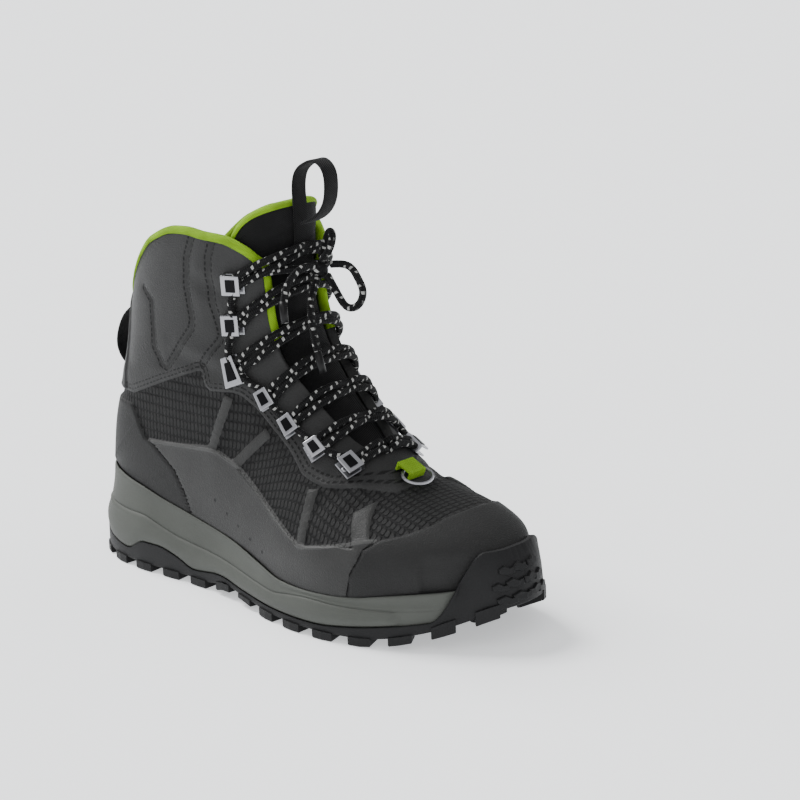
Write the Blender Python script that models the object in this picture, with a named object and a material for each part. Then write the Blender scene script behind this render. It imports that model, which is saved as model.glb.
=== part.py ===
# Wading boot for the right foot, lace-up, with a lugged rubber sole.
# Metres. +X runs to the toe, +Z is up, -Y is the outer side of the foot.
import math

import bpy
import bmesh
import numpy as np
from mathutils import Matrix

LENGTH = 0.318        # outsole, heel back to toe tip
BALL_WIDTH = 0.118    # outsole across the ball
SHAFT_HEIGHT = 0.210  # floor to the highest part of the collar
HEEL_RIM = 0.0545     # floor to the top of the midsole wall at the heel
FORE_RIM = 0.0245     # the same at the ball
HEEL_BED = 0.034      # floor to the footbed under the heel
FORE_BED = 0.0165     # the same under the ball
LUG_DEPTH = 0.004
FLOOR = 0.0020        # least rubber between the lugs and the midsole
WALL = 0.0024         # upper's layers together
FIT = 0.0003          # room between pieces that touch
CUP_DEPTH = 0.0055    # the upper's edge stands this far below the midsole's rim
LEDGE_ROOM = 0.0018   # between the upper's side and the midsole's rim
BUMPER_TOP = 0.0525   # floor to the top of the rubber that wraps the toe
CLEAR = 0.0008         # between the bumper and the upper
TONGUE_THICK = 0.0042
INSOLE_THICK = 0.0035
INSOLE_END = 0.925    # its front edge, share of LENGTH
EPS = 1e-5
HEEL_REST = 0.125     # the row's origin: the heel's middle lug, share of LENGTH

# Outline of the sole seen from above: share of LENGTH, share of BALL_WIDTH.
OUTLINE = [
    ("heel back", 0.000, 0.000), ("heel back outer", 0.036, -0.230), ("heel outer", 0.145, -0.370),
    ("waist outer", 0.290, -0.375), ("arch outer", 0.425, -0.395), ("joint outer", 0.550, -0.470),
    ("ball outer", 0.668, -0.512), ("toes outer", 0.822, -0.430), ("tip outer", 0.940, -0.225),
    ("toe tip", 1.000, 0.050), ("tip inner", 0.955, 0.300), ("toes inner", 0.842, 0.435),
    ("ball inner", 0.708, 0.485), ("joint inner", 0.566, 0.440), ("arch inner", 0.410, 0.355),
    ("waist inner", 0.283, 0.345), ("heel inner", 0.145, 0.350), ("heel back inner", 0.036, 0.222),
]

# Heights along the sole: share of LENGTH against the height's own unit.
RIM = [(0.00, 1.00), (0.06, 0.985), (0.175, 0.86), (0.26, 0.66), (0.36, 0.45), (0.455, 0.30), (0.545, 0.135),
       (0.60, 0.02), (0.665, 0.00), (0.735, 0.02), (0.775, 0.055), (0.835, 0.155), (0.89, 0.23), (1.00, 0.34)]
BED = [(0.00, 1.00), (0.22, 1.00), (0.42, 0.62), (0.58, 0.12), (0.68, 0.00), (0.80, 0.05), (0.90, 0.28), (1.00, 0.58)]
PARTING = [(0.00, 4.10), (0.03, 3.90), (0.09, 2.80), (0.15, 2.30), (0.20, 4.00), (0.24, 4.00), (0.29, 3.10),
           (0.335, 1.90), (0.41, 2.50), (0.485, 1.90), (0.60, 1.60), (0.70, 1.65), (0.77, 2.15), (0.84, 2.90),
           (0.90, 3.70), (0.945, 4.80), (1.00, 6.40)]
LUG_LEVEL = [(0.00, 0.45), (0.05, 0.0), (0.37, 0.0), (0.43, 0.95), (0.49, 0.80), (0.56, 0.0), (0.785, 0.0),
             (0.83, 0.40), (0.88, 1.25), (0.93, 2.50), (0.98, 4.20), (1.00, 4.70)]
STEP_LINE = [(0.00, 0.60), (0.19, 0.60), (0.25, 0.515), (0.29, 0.455), (0.40, 0.385), (0.52, 0.320), (0.58, 0.300),
             (0.63, 0.345), (0.68, 0.375), (0.75, 0.365), (0.85, 0.380), (0.90, 0.400), (0.95, 0.460), (1.00, 0.565)]

# Sections of the last, toe to collar. Crest: where the section meets the front centre line (x share of
# LENGTH, z share of SHAFT_HEIGHT). Edge: how far round the sole from the toe it ends. Back: where sections
# above the heel meet the back seam. Half widths are shares of BALL_WIDTH, widest at "at" of the way down.
SECTIONS = [
    # name, crest x, crest z, edge, back x, back z, outer, inner, at, crest round, edge round, crest y
    ("toe edge",     0.9800, 0.138, 0.000, 0, 0,          0.008, 0.008, 0.50, 2.2, 2.0, 0.050),
    ("toe front",    0.9745, 0.203, 0.028, 0, 0,          0.060, 0.060, 0.62, 2.6, 2.2, 0.050),
    ("toe shoulder", 0.9580, 0.250, 0.072, 0, 0,          0.150, 0.150, 0.66, 2.8, 2.3, 0.050),
    ("toe box",      0.8980, 0.303, 0.145, 0, 0,          0.300, 0.290, 0.70, 2.7, 2.3, 0.042),
    ("toe bend",     0.8110, 0.337, 0.235, 0, 0,          0.435, 0.390, 0.72, 2.4, 2.2, 0.034),
    ("ball",         0.7360, 0.374, 0.330, 0, 0,          0.502, 0.418, 0.76, 2.1, 2.1, 0.034),
    ("throat",       0.6700, 0.440, 0.430, 0, 0,          0.486, 0.390, 0.78, 2.0, 2.1, 0.034),
    ("waist",        0.6180, 0.526, 0.530, 0, 0,          0.420, 0.352, 0.78, 2.0, 2.1, 0.034),
    ("instep",       0.5760, 0.617, 0.640, 0, 0,          0.362, 0.334, 0.74, 2.1, 2.1, 0.025),
    ("heel fore",    0.5440, 0.708, 0.760, 0, 0,          0.340, 0.330, 0.66, 2.2, 2.3, 0.010),
    ("heel",         0.5270, 0.793, 0.880, 0, 0,          0.330, 0.320, 0.60, 2.3, 2.5, 0.003),
    ("heel seat",    0.5200, 0.866, 1.000, 0, 0,           0.320, 0.312, 0.56, 2.4, 2.7, 0),
    ("counter",      0.5180, 0.922, 1.000, 0.0630, 0.395, 0.318, 0.310, 0.54, 2.5, 2.9, 0),
    ("ankle",        0.5190, 0.970, 1.000, 0.1010, 0.545, 0.316, 0.312, 0.52, 2.6, 2.7, 0),
    ("shaft",        0.5200, 1.010, 1.000, 0.1180, 0.690, 0.322, 0.318, 0.52, 2.6, 2.4, 0),
    ("collar",       0.5210, 1.052, 1.000, 0.1350, 0.835, 0.328, 0.324, 0.52, 2.6, 2.2, 0),
    ("above",        0.5210, 1.104, 1.000, 0.1480, 0.980, 0.332, 0.328, 0.52, 2.6, 2.2, 0),
]
HEEL_SEAT_ROW = 11.0

# How far the upper's lower edge stands in from the outline: edge share, share of BALL_WIDTH.
EDGE_INSET = [(0.0, 0.0660), (0.12, 0.0540), (0.35, 0.0440), (0.55, 0.0560), (0.80, 0.0760), (1.0, 0.1020)]
# Thickness of the outsole's upstanding lip, which becomes the toe bumper: edge share, share of BALL_WIDTH.
LIP_THICK = [(0.0, 0.0290), (0.09, 0.0280), (0.145, 0.0120), (1.0, 0.0100)]

# Rows of the upper's mesh: down the foot to the heel seat, then up the shaft as shares of what is left.
FOOT_ROWS = [0, 0.3, 0.65, 1, 1.35, 1.75, 2.2, 2.7, 3.2, 3.7, 4.2, 4.7, 5.2, 5.6, 5.9, 6.2, 6.6, 7.1, 7.6, 8.1, 8.6,
             9.1, 9.55, 9.95, 10.3, 10.65, 11]
SHAFT_ROWS = [0.12, 0.25, 0.38, 0.52, 0.66, 0.80, 0.91, 1.0]
THROAT_ROW = 5.6
COLUMNS = 10
CUP_COLUMNS = 8
# The throat's half width measured over the surface: row, share of BALL_WIDTH.
THROAT = [(5.6, 0.0), (5.9, 0.085), (6.2, 0.115), (6.6, 0.135), (7.1, 0.152), (8.0, 0.180), (9.0, 0.212), (10.0, 0.216),
          (11.0, 0.212), (12.0, 0.216), (13.0, 0.240), (16.0, 0.280)]
# Collar line: share of the way round from the throat edge to the back, and the row it reaches.
COLLAR = [(0.0, 12.30), (0.05, 13.50), (0.12, 14.40), (0.23, 14.95), (0.33, 15.30), (0.43, 15.43), (0.55, 15.35),
          (0.69, 14.98), (0.85, 14.4), (1.0, 14.1)]


def natural_spline(knots, values):
    """Cubic through the knots, returned as a function of the parameter."""
    k = np.asarray(knots, float)
    v = np.asarray(values, float)
    n = len(k)
    h = np.diff(k)
    a = np.eye(n)
    b = np.zeros((n,) + v.shape[1:])
    for i in range(1, n - 1):
        a[i, i - 1], a[i, i], a[i, i + 1] = h[i - 1], 2 * (h[i - 1] + h[i]), h[i]
        b[i] = 6 * ((v[i + 1] - v[i]) / h[i] - (v[i] - v[i - 1]) / h[i - 1])
    m = np.linalg.solve(a, b)

    def value(t):
        t = np.clip(np.asarray(t, float), k[0], k[-1])
        i = np.clip(np.searchsorted(k, t, side="right") - 1, 0, n - 2)
        step = h[i]
        lo = (k[i + 1] - t) / step
        hi = (t - k[i]) / step
        if v.ndim > 1:
            lo, hi, step = lo[..., None], hi[..., None], step[..., None]
        return lo * v[i] + hi * v[i + 1] + ((lo**3 - lo) * m[i] + (hi**3 - hi) * m[i + 1]) * step * step / 6

    return value


def steady(pairs):
    """Curve through the pairs that never overshoots them."""
    x = np.array([p[0] for p in pairs], float)
    y = np.array([p[1] for p in pairs], float)
    h = np.diff(x)
    d = np.diff(y) / h
    m = np.zeros(len(x))
    for i in range(1, len(x) - 1):
        if d[i - 1] * d[i] > 0:
            w1, w2 = 2 * h[i] + h[i - 1], h[i] + 2 * h[i - 1]
            m[i] = (w1 + w2) / (w1 / d[i - 1] + w2 / d[i])
    m[0], m[-1] = d[0], d[-1]

    def value(t):
        t = np.clip(np.asarray(t, float), x[0], x[-1])
        i = np.clip(np.searchsorted(x, t, side="right") - 1, 0, len(x) - 2)
        s = (t - x[i]) / h[i]
        return ((1 + 2 * s) * (1 - s) ** 2 * y[i] + s * (1 - s) ** 2 * h[i] * m[i]
                + s * s * (3 - 2 * s) * y[i + 1] + s * s * (s - 1) * h[i] * m[i + 1])

    return value


def along(points):
    """Distance of each point from the first, measured along the line."""
    return np.r_[0, np.cumsum(np.linalg.norm(np.diff(points, axis=0), axis=1))]


def outline_halves():
    """Outer and inner half of the sole's outline, each from the toe (0) to the heel (1)."""
    knots = np.array([(a * LENGTH, c * BALL_WIDTH) for _, a, c in OUTLINE])
    tripled = np.vstack([knots, knots, knots])
    d = along(tripled)
    n = len(knots)
    loop = natural_spline(d, tripled)(np.linspace(d[n], d[2 * n], 1441))[:-1]
    tangent = np.roll(loop, -1, 0) - np.roll(loop, 1, 0)
    tangent /= np.linalg.norm(tangent, axis=1)[:, None]
    rows = np.c_[loop, tangent[:, 1], -tangent[:, 0]]
    rows = np.roll(rows, -int(rows[:, 0].argmin()), 0)
    tip = int(rows[:, 0].argmax())
    outer = rows[:tip + 1][::-1]
    inner = np.vstack([rows[tip:], rows[:1]])
    halves = {}
    for side, half in ((-1, outer), (1, inner)):
        s = along(half[:, :2])
        halves[side] = (s / s[-1], half)
    return halves


HALVES = outline_halves()
table = natural_spline(np.arange(len(SECTIONS)), [row[1:] for row in SECTIONS])
edge_share = steady([(i, row[3]) for i, row in enumerate(SECTIONS[:12])])
rim_share, bed_share, step_share = steady(RIM), steady(BED), steady(STEP_LINE)
parting_share, lug_share = steady(PARTING), steady(LUG_LEVEL)
edge_inset, lip_share = steady(EDGE_INSET), steady(LIP_THICK)
throat_share, collar_row = steady(THROAT), steady(COLLAR)


def outline_point(side, u, inset=0.0):
    """Point of the outline at share u from toe to heel, moved in by inset."""
    s, half = HALVES[side]
    x, y, nx, ny = (np.interp(u, s, half[:, k]) for k in range(4))
    size = np.hypot(nx, ny)
    return np.array([x - nx / size * inset, y - ny / size * inset])


def rim_z(x):
    return FORE_RIM + (HEEL_RIM - FORE_RIM) * rim_share(x / LENGTH)


def bed_z(x):
    return FORE_BED + (HEEL_BED - FORE_BED) * bed_share(x / LENGTH)


def lug_z(x):
    return LUG_DEPTH * lug_share(x / LENGTH)


def parting_z(x):
    return LUG_DEPTH * parting_share(x / LENGTH)


def base_z(x):
    """Underside of the outsole between its lugs."""
    return np.minimum(lug_z(x) + LUG_DEPTH, parting_z(x) - FLOOR)


def step_z(x):
    """Height of the step that runs along the midsole's side."""
    return HEEL_RIM * step_share(x / LENGTH)


def edge_point(side, u, out=0.0):
    """Where the upper's lower edge runs, on the midsole's ledge."""
    x, y = outline_point(side, u, edge_inset(u) * BALL_WIDTH - out)
    return np.array([x, y, rim_z(x) - CUP_DEPTH])


def back_line():
    """The back seam from the midsole's ledge up, by row."""
    first = edge_point(-1, 1.0)
    first[1] = 0.0
    rows = [(r[4] * LENGTH, 0.0, r[5] * SHAFT_HEIGHT) for r in SECTIONS[int(HEEL_SEAT_ROW) + 1:]]
    points = [tuple(first + [0, 0, FIT])] + rows
    return natural_spline(np.arange(len(points)) + HEEL_SEAT_ROW, points)


back_seam = back_line()


def section(t, side, count=40):
    """Points of one half section of the upper's outside, crest to lower edge or back seam."""
    cx, cz, _, _, _, outer, inner, at, p, q, cy = table(t)
    crest = np.array([cx * LENGTH, cy * BALL_WIDTH, cz * SHAFT_HEIGHT])
    if t < HEEL_SEAT_ROW - EPS:
        foot = edge_point(side, edge_share(t)) + [0, 0, FIT]
    else:
        foot = back_seam(t)
    if t < EPS:
        crest = foot.copy()
    reach = max(side * (foot[1] - crest[1]), 0.0)
    width = max((outer if side < 0 else inner) * BALL_WIDTH, reach * 1.001, EPS)
    r = min(reach / width, 0.9999)
    a = np.linspace(0, math.pi / 2, count)
    down, out = [at * (1 - np.cos(a) ** (2 / p))], [width * np.sin(a) ** (2 / p)]
    last = math.acos(min(max(r ** (q / 2), 0.0), 1.0))
    a = np.linspace(0, last, count)[1:]
    down.append(at + (1 - at) / max(math.sin(last) ** (2 / q), EPS) * np.sin(a) ** (2 / q))
    out.append(width * np.cos(a) ** (2 / q))
    down, out = np.concatenate(down), np.concatenate(out)
    points = np.c_[crest[0] + (foot[0] - crest[0]) * down, crest[1] + side * out,
                   crest[2] + (foot[2] - crest[2]) * down]
    points[-1] = foot
    return points, along(points)


def skin(t, s, side):
    """Outside of the upper: row t, distance s over the surface from the crest."""
    points, d = section(t, side)
    return np.array([np.interp(s, d, points[:, k]) for k in range(3)])


def girth(t, side):
    return section(t, side)[1][-1]


def skin_normal(t, s, side):
    """Direction straight out of the upper at that place."""
    d = 0.002
    g = girth(t, side)
    lo, hi = max(s - d, 0.0), min(s + d, g)
    if s < d:
        around = side * (skin(t, s + d, side) - skin(t, s + d, -side))
    else:
        around = side * (skin(t, hi, side) - skin(t, lo, side))
    t0, t1 = max(t - 0.06, 0.0), min(t + 0.06, len(SECTIONS) - 1.0)
    f = s / g
    lengthwise = skin(t1, f * girth(t1, side), side) - skin(t0, f * girth(t0, side), side)
    n = np.cross(around, lengthwise)
    size = np.linalg.norm(n)
    return n / size if size > 1e-12 else np.array([1.0, 0, 0])


def throat_half(t):
    return throat_share(t) * BALL_WIDTH


class Shell:
    """Collects points and faces for one closed solid."""

    def __init__(self):
        self.verts, self.faces = [], []

    def add(self, points):
        start = len(self.verts)
        self.verts += [tuple(map(float, p)) for p in points]
        return list(range(start, start + len(points)))

    def strip(self, a, b, closed=False, split=False):
        n = len(a)
        for i in range(n if closed else n - 1):
            j = (i + 1) % n
            if split:
                self.faces += [(a[i], a[j], b[j]), (a[i], b[j], b[i])]
            else:
                self.faces.append((a[i], a[j], b[j], b[i]))


materials = {}
collection = bpy.data.collections.new("wading_boot")
cutters = bpy.data.collections.new("cutters")

# Colour and roughness of each material as it is read in the photograph.
LOOKS = {
    "rubber_black": ((0.045, 0.045, 0.047), 0.62, 0.0), "midsole_grey": ((0.215, 0.222, 0.205), 0.6, 0.0),
    "insole_black": ((0.03, 0.03, 0.03), 0.9, 0.0), "leather_grey": ((0.105, 0.105, 0.105), 0.55, 0.0),
    "tongue_black": ((0.05, 0.05, 0.052), 0.7, 0.0), "rubber_matte": ((0.06, 0.06, 0.06), 0.7, 0.0),
    "trim_green": ((0.42, 0.62, 0.05), 0.75, 0.0), "webbing_black": ((0.035, 0.035, 0.036), 0.8, 0.0),
    "metal_silver": ((0.62, 0.62, 0.65), 0.3, 1.0), "metal_dark": ((0.05, 0.05, 0.055), 0.4, 1.0),
    "lace_black": ((0.03, 0.03, 0.032), 0.8, 0.0),
}


def material(name):
    if name not in materials:
        colour, rough, metal = LOOKS[name]
        m = bpy.data.materials.new(name)
        m.use_nodes = True
        shader = m.node_tree.nodes["Principled BSDF"]
        shader.inputs["Base Color"].default_value = (*colour, 1)
        shader.inputs["Roughness"].default_value = rough
        shader.inputs["Metallic"].default_value = metal
        materials[name] = m
    return materials[name]


def solid(name, shell, look, home=None):
    """Object made of a shell's points and faces, doubles joined, faces turned out."""
    mesh = bpy.data.meshes.new(name)
    bm = bmesh.new()
    made = [bm.verts.new(v) for v in shell.verts]
    for face in shell.faces:
        corners = []
        for i in face:
            if made[i] not in corners:
                corners.append(made[i])
        if len(corners) > 2:
            bm.faces.new(corners)
    bmesh.ops.remove_doubles(bm, verts=bm.verts, dist=EPS)
    bmesh.ops.dissolve_degenerate(bm, edges=bm.edges, dist=EPS / 2)
    loose = [v for v in bm.verts if not v.link_faces]
    bmesh.ops.delete(bm, geom=loose, context="VERTS")
    if look:
        bmesh.ops.recalc_face_normals(bm, faces=bm.faces)
        if bm.calc_volume(signed=True) < 0:
            bmesh.ops.reverse_faces(bm, faces=bm.faces)
    bm.to_mesh(mesh)
    bm.free()
    item = bpy.data.objects.new(name, mesh)
    if look:
        mesh.materials.append(material(look))
    (home or collection).objects.link(item)
    return item


def apply_boolean(item, other, operation, solver="EXACT"):
    """Keeps the result of the Boolean as the item's own mesh."""
    modifier = item.modifiers.new(operation.lower(), "BOOLEAN")
    modifier.operation, modifier.solver, modifier.object = operation, solver, other
    graph = bpy.context.evaluated_depsgraph_get()
    graph.update()
    result = bpy.data.meshes.new_from_object(item.evaluated_get(graph))
    item.modifiers.clear()
    item.data = result
    bm = bmesh.new()
    bm.from_mesh(result)
    bmesh.ops.remove_doubles(bm, verts=bm.verts, dist=EPS)
    bmesh.ops.dissolve_degenerate(bm, edges=bm.edges, dist=EPS)
    bm.to_mesh(result)
    bm.free()


def guide(item):
    """Marks a cutter: kept in its own collection, never rendered."""
    item.hide_render = True
    item.display_type = "WIRE"
    return item


# Shares round the outline at which every ring of the sole is sampled, the upper's own rows.
RING_SHARES = [float(edge_share(t)) for t in FOOT_ROWS]


def ring(inset, height, shares=None):
    """Loop round the sole: toe, outer side, heel, inner side. inset and height take (share, x)."""
    shares = shares or RING_SHARES
    points = []
    for side, order in ((-1, shares), (1, shares[::-1][1:-1])):
        for u in order:
            x = outline_point(side, u)[0]
            x, y = outline_point(side, u, inset(u, x))
            points.append((x, y, height(u, x)))
    return points


def cap(shell, loop, height, across=6):
    """Closes a ring with cross rows whose heights come from height(x, share across -1..1, edge z)."""
    n = len(loop) // 2
    rows = [[loop[0]]]
    for k in range(1, n):
        a, b = np.array(shell.verts[loop[k]]), np.array(shell.verts[loop[-k]])
        inner = []
        for m in range(1, across):
            f = m / across
            p = a + (b - a) * f
            p[2] = height(p[0], 2 * f - 1, p[2])
            inner.append(p)
        rows.append([loop[k]] + shell.add(inner) + [loop[-k]])
    rows.append([loop[n]])
    for a, b in zip(rows, rows[1:]):
        if len(a) == 1:
            shell.faces += [(a[0], b[m], b[m + 1]) for m in range(len(b) - 1)]
        elif len(b) == 1:
            shell.faces += [(b[0], a[m + 1], a[m]) for m in range(len(a) - 1)]
        else:
            shell.strip(a, b)


def lip_thick(u):
    return lip_share(u) * BALL_WIDTH


def bumper(u):
    """1 where the outsole climbs the toe, 0 along the sides."""
    s = min(max((0.150 - u) / 0.085, 0.0), 1.0)
    return s * s * (3 - 2 * s)


def lip_z(u, x):
    low = parting_z(x) + 0.0012
    return low + (BUMPER_TOP - low) * bumper(u)


def toe_cloud():
    """Points all over the front of the upper, to keep the bumper clear of it."""
    return np.vstack([section(t, side, 24)[0] for t in np.linspace(0.05, 4.5, 60) for side in (-1, 1)])


def upper_inset(u, z):
    """How far in from the outline the upper stands at height z, the nearer of its two sides."""
    nearest = 0.03
    for side in (-1, 1):
        p = outline_point(side, u)
        n = (p - outline_point(side, u, 0.01)) / 0.01
        gap = p - TOE[:, :2]
        sideways = np.abs(gap @ np.array([-n[1], n[0]]))
        near = (np.abs(TOE[:, 2] - z) < 0.0015) & (sideways < 0.004)
        if near.any():
            nearest = min(nearest, float((gap[near] @ n).min()))
    return nearest


TOE = toe_cloud()


def bumper_profile(u, x):
    """Inset and height of the lip's inner face, from the floor up to its top."""
    floor, top, rim = float(parting_z(x)), float(lip_z(u, x)), float(rim_z(x)) + 0.0008
    thick = lip_thick(u)
    if top < rim + 0.002:
        rise = (top - floor) / 3
        return [(thick, floor), (thick, floor + rise), (thick, floor + 2 * rise), (thick, top)]
    half = (rim + top) / 2
    inner = thick + 0.0010 * bumper(u)
    return [(thick, floor), (inner, rim), (max(inner, upper_inset(u, half) - CLEAR), half),
            (max(inner, upper_inset(u, top) - CLEAR), top)]


def prism(shell, outline, low, high):
    """Block over a plan outline; low and high give the height at each (x, y)."""
    area = sum(a[0] * b[1] - b[0] * a[1] for a, b in zip(outline, outline[1:] + outline[:1]))
    outline = outline if area > 0 else outline[::-1]
    bottom = shell.add([(x, y, low(x, y)) for x, y in outline])
    top = shell.add([(x, y, high(x, y)) for x, y in outline])
    shell.strip(bottom, top, closed=True)
    shell.faces += [tuple(bottom[::-1]), tuple(top)]


# Lugs at the edge: share round the outline at the middle, length along it, depth inward, in shares of BALL_WIDTH.
EDGE_LUG_COUNT = 15
EDGE_LUG_LONG = 0.112
EDGE_LUG_DEEP = (0.130, 0.180)
# Lugs in the middle: share of LENGTH, share of BALL_WIDTH, turn in degrees, size as share of BALL_WIDTH.
MIDDLE_LUGS = [
    ("heel centre", HEEL_REST, 0.000, 0, 0.105), ("heel outer", 0.195, -0.120, 180, 0.095),
    ("heel inner", 0.195, 0.110, 180, 0.095), ("heel front", 0.265, -0.010, 0, 0.100),
    ("waist", 0.345, -0.010, 180, 0.085), ("arch", 0.430, -0.020, 0, 0.080),
    ("joint outer", 0.520, -0.150, 180, 0.090), ("joint inner", 0.535, 0.120, 180, 0.090),
    ("ball mid", 0.595, -0.015, 0, 0.105), ("ball outer", 0.655, -0.200, 180, 0.100),
    ("ball inner", 0.665, 0.180, 180, 0.100), ("ball centre", 0.710, -0.015, 0, 0.110),
    ("toes outer", 0.775, -0.190, 180, 0.100), ("toes inner", 0.785, 0.185, 180, 0.100),
    ("toes centre", 0.835, 0.005, 0, 0.110), ("tip", 0.915, 0.040, 0, 0.090),
]
STAR = [(1.0, -16), (1.0, 16), (0.36, 60)]  # one arm of a three-armed lug: share of its size, angle


def build_lugs():
    """Two cutter objects: the lugs round the edge, and those in the middle."""
    edge, middle = Shell(), Shell()
    high = lambda x, y: base_z(x) + 0.0011
    low = lambda x, y: lug_z(x)
    for side in (-1, 1):
        for k in range(EDGE_LUG_COUNT):
            u = 0.035 + (k + 0.5) * 0.955 / EDGE_LUG_COUNT
            half = EDGE_LUG_LONG * BALL_WIDTH / 2
            reach = EDGE_LUG_DEEP[k % 2] * BALL_WIDTH
            total = along(HALVES[side][1][:, :2])[-1]
            du = half / total
            corners = [outline_point(side, u - du, -0.0006), outline_point(side, u + du, -0.0006),
                       outline_point(side, u + du * 0.9, reach * 0.62), outline_point(side, u + du * 0.35, reach),
                       outline_point(side, u - du * 0.75, reach * 0.86)]
            prism(edge, [tuple(c) for c in corners], low, high)
    for _, sx, sy, turn, size in MIDDLE_LUGS:
        outline = []
        for arm in (0, 120, 240):
            for share, angle in STAR:
                a = math.radians(arm + angle + turn)
                outline.append((sx * LENGTH + math.cos(a) * share * size * BALL_WIDTH,
                                sy * BALL_WIDTH + math.sin(a) * share * size * BALL_WIDTH))
        prism(middle, outline, low, high)
    return [guide(solid(name, shell, None, cutters)) for name, shell in (("edge_lugs", edge), ("middle_lugs", middle))]


def build_outsole():
    shell = Shell()
    base = lambda u, x: base_z(x)
    def face(k, out=False):
        """Inner face of the lip at level k, or the outer face across from it."""
        def inset(u, x):
            inner = bumper_profile(u, x)[k][0]
            return max(inner - lip_thick(u) * (1.0, 0.90, 0.85, 0.75)[k], 0.0002) if out else inner
        return inset
    level = lambda k: lambda u, x: bumper_profile(u, x)[k][1]
    loops = [
        shell.add(ring(lambda u, x: 0.0012, base)),
        shell.add(ring(lambda u, x: 0.0, lambda u, x: base(u, x) + 0.0010)),
        shell.add(ring(face(1, True), level(1))),
        shell.add(ring(face(2, True), level(2))),
        shell.add(ring(face(3, True), level(3))),
        shell.add(ring(face(3), level(3))),
        shell.add(ring(face(2), level(2))),
        shell.add(ring(face(1), level(1))),
        shell.add(ring(face(0), level(0))),
    ]
    for a, b in zip(loops, loops[1:]):
        shell.strip(a, b, closed=True)
    cap(shell, loops[0], lambda x, e, z: base_z(x), 3)
    cap(shell, loops[-1], lambda x, e, z: parting_z(x), 2)
    item = solid("outsole", shell, "rubber_black")
    for lugs in build_lugs():
        apply_boolean(item, lugs, "UNION")
    return item


def lip_ring():
    """Inner edge of the midsole's rim, kept clear of the upper's side at that height."""
    points = []
    for side, rows in ((-1, FOOT_ROWS), (1, FOOT_ROWS[::-1][1:-1])):
        for t in rows:
            u = float(edge_share(t))
            line = section(t, side)[0] if t > EPS else np.array([edge_point(side, u)] * 2)
            edge = line[-1]
            low = line[line[:, 2] < edge[2] + CUP_DEPTH + 0.001]
            a, b = outline_point(side, u), outline_point(side, u, 0.01)
            n = (a - b) / 0.01
            out = max(float(np.max((low[:, :2] - edge[:2]) @ n)), 0.0) + LEDGE_ROOM
            x, y = edge[:2] + n * out
            points.append((x, y, float(rim_z(x))))
    return points


def midsole_inset(extra, rim=0.0):
    """Inset of a ring of the midsole: its own profile, or behind the toe bumper. rim 0..1 leans it in."""
    def inset(u, x):
        lean = (0.0016 + 0.0050 * min(max((u - 0.45) / 0.5, 0.0), 1.0)) * rim
        own = extra + lean
        behind = lip_thick(u) + FIT + 0.0013 * bumper(u)
        return max(behind, own) if u < 0.2 else own
    return inset


def build_midsole():
    shell = Shell()
    floor = lambda u, x: parting_z(x) + FIT
    inside = lambda u, x: lip_thick(u) + FIT
    top = lambda u, x: float(rim_z(x))
    def lower(u, x):
        return parting_z(x) + 0.0012 + FIT * 2
    def mid(u, x):
        return lower(u, x) + (step_z(x) - lower(u, x)) * 0.55
    ledge = lambda u, x: edge_inset(u) * BALL_WIDTH - LEDGE_ROOM
    brim = lip_ring()
    loops = [
        shell.add(ring(inside, floor)),
        shell.add(ring(inside, lower)),
        shell.add(ring(midsole_inset(0.0004), lambda u, x: lower(u, x) + 0.0004)),
        shell.add(ring(midsole_inset(-0.0012, 0.15), mid)),
        shell.add(ring(midsole_inset(0.0000, 0.40), lambda u, x: step_z(x))),
        shell.add(ring(midsole_inset(0.0009, 0.42), lambda u, x: step_z(x) + 0.0008)),
        shell.add(ring(midsole_inset(0.0006, 0.95), lambda u, x: rim_z(x) - 0.0012)),
        shell.add(ring(midsole_inset(0.0012, 1.0), top)),
        shell.add(brim),
        shell.add(ring(ledge, lambda u, x: rim_z(x) - CUP_DEPTH)),
    ]
    for a, b in zip(loops, loops[1:]):
        shell.strip(a, b, closed=True)
    cap(shell, loops[0], lambda x, e, z: parting_z(x) + FIT, 2)
    cap(shell, loops[-1], cup_z, CUP_COLUMNS)
    return solid("midsole", shell, "midsole_grey")


def cup_z(x, e, edge):
    """Top of the midsole between its ledges: level under the foot, climbing to the ledge at each side."""
    climb = min(max((abs(e) - 0.55) / 0.35, 0.0), 1.0)
    climb = climb * climb * (3 - 2 * climb)
    return bed_z(x) + (rim_z(x) - CUP_DEPTH - bed_z(x)) * climb


def build_insole():
    """Sheet on the midsole's cup, laid on the same rows and columns as the cup itself."""
    shell = Shell()
    loop = ring(lambda u, x: edge_inset(u) * BALL_WIDTH - LEDGE_ROOM, lambda u, x: rim_z(x) - CUP_DEPTH)
    low, high = [], []
    for k in range(1, len(loop) // 2 - 4):
        if loop[k][0] > INSOLE_END * LENGTH:
            continue
        a, b = np.array(loop[k]), np.array(loop[-k])
        line = []
        for m in range(1, CUP_COLUMNS):
            f = m / CUP_COLUMNS
            p = a + (b - a) * f
            line.append(np.array([p[0], p[1], cup_z(p[0], 2 * f - 1, 0.0) + 2.5 * FIT]))
        line[0] = line[0] * 0.7 + line[1] * 0.3
        line[-1] = line[-1] * 0.7 + line[-2] * 0.3
        low.append(shell.add(line))
        edge = 0.45 * INSOLE_THICK
        high.append(shell.add([(x, y, z + (edge if i in (0, len(line) - 1) else INSOLE_THICK))
                               for i, (x, y, z) in enumerate(line)]))
    for i in range(len(low) - 1):
        shell.strip(low[i], low[i + 1])
        shell.strip(high[i], high[i + 1])
    for k in (0, -1):
        shell.strip(low[k], high[k])
        shell.strip([r[k] for r in low], [r[k] for r in high])
    return solid("insole", shell, "insole_black")


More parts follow.
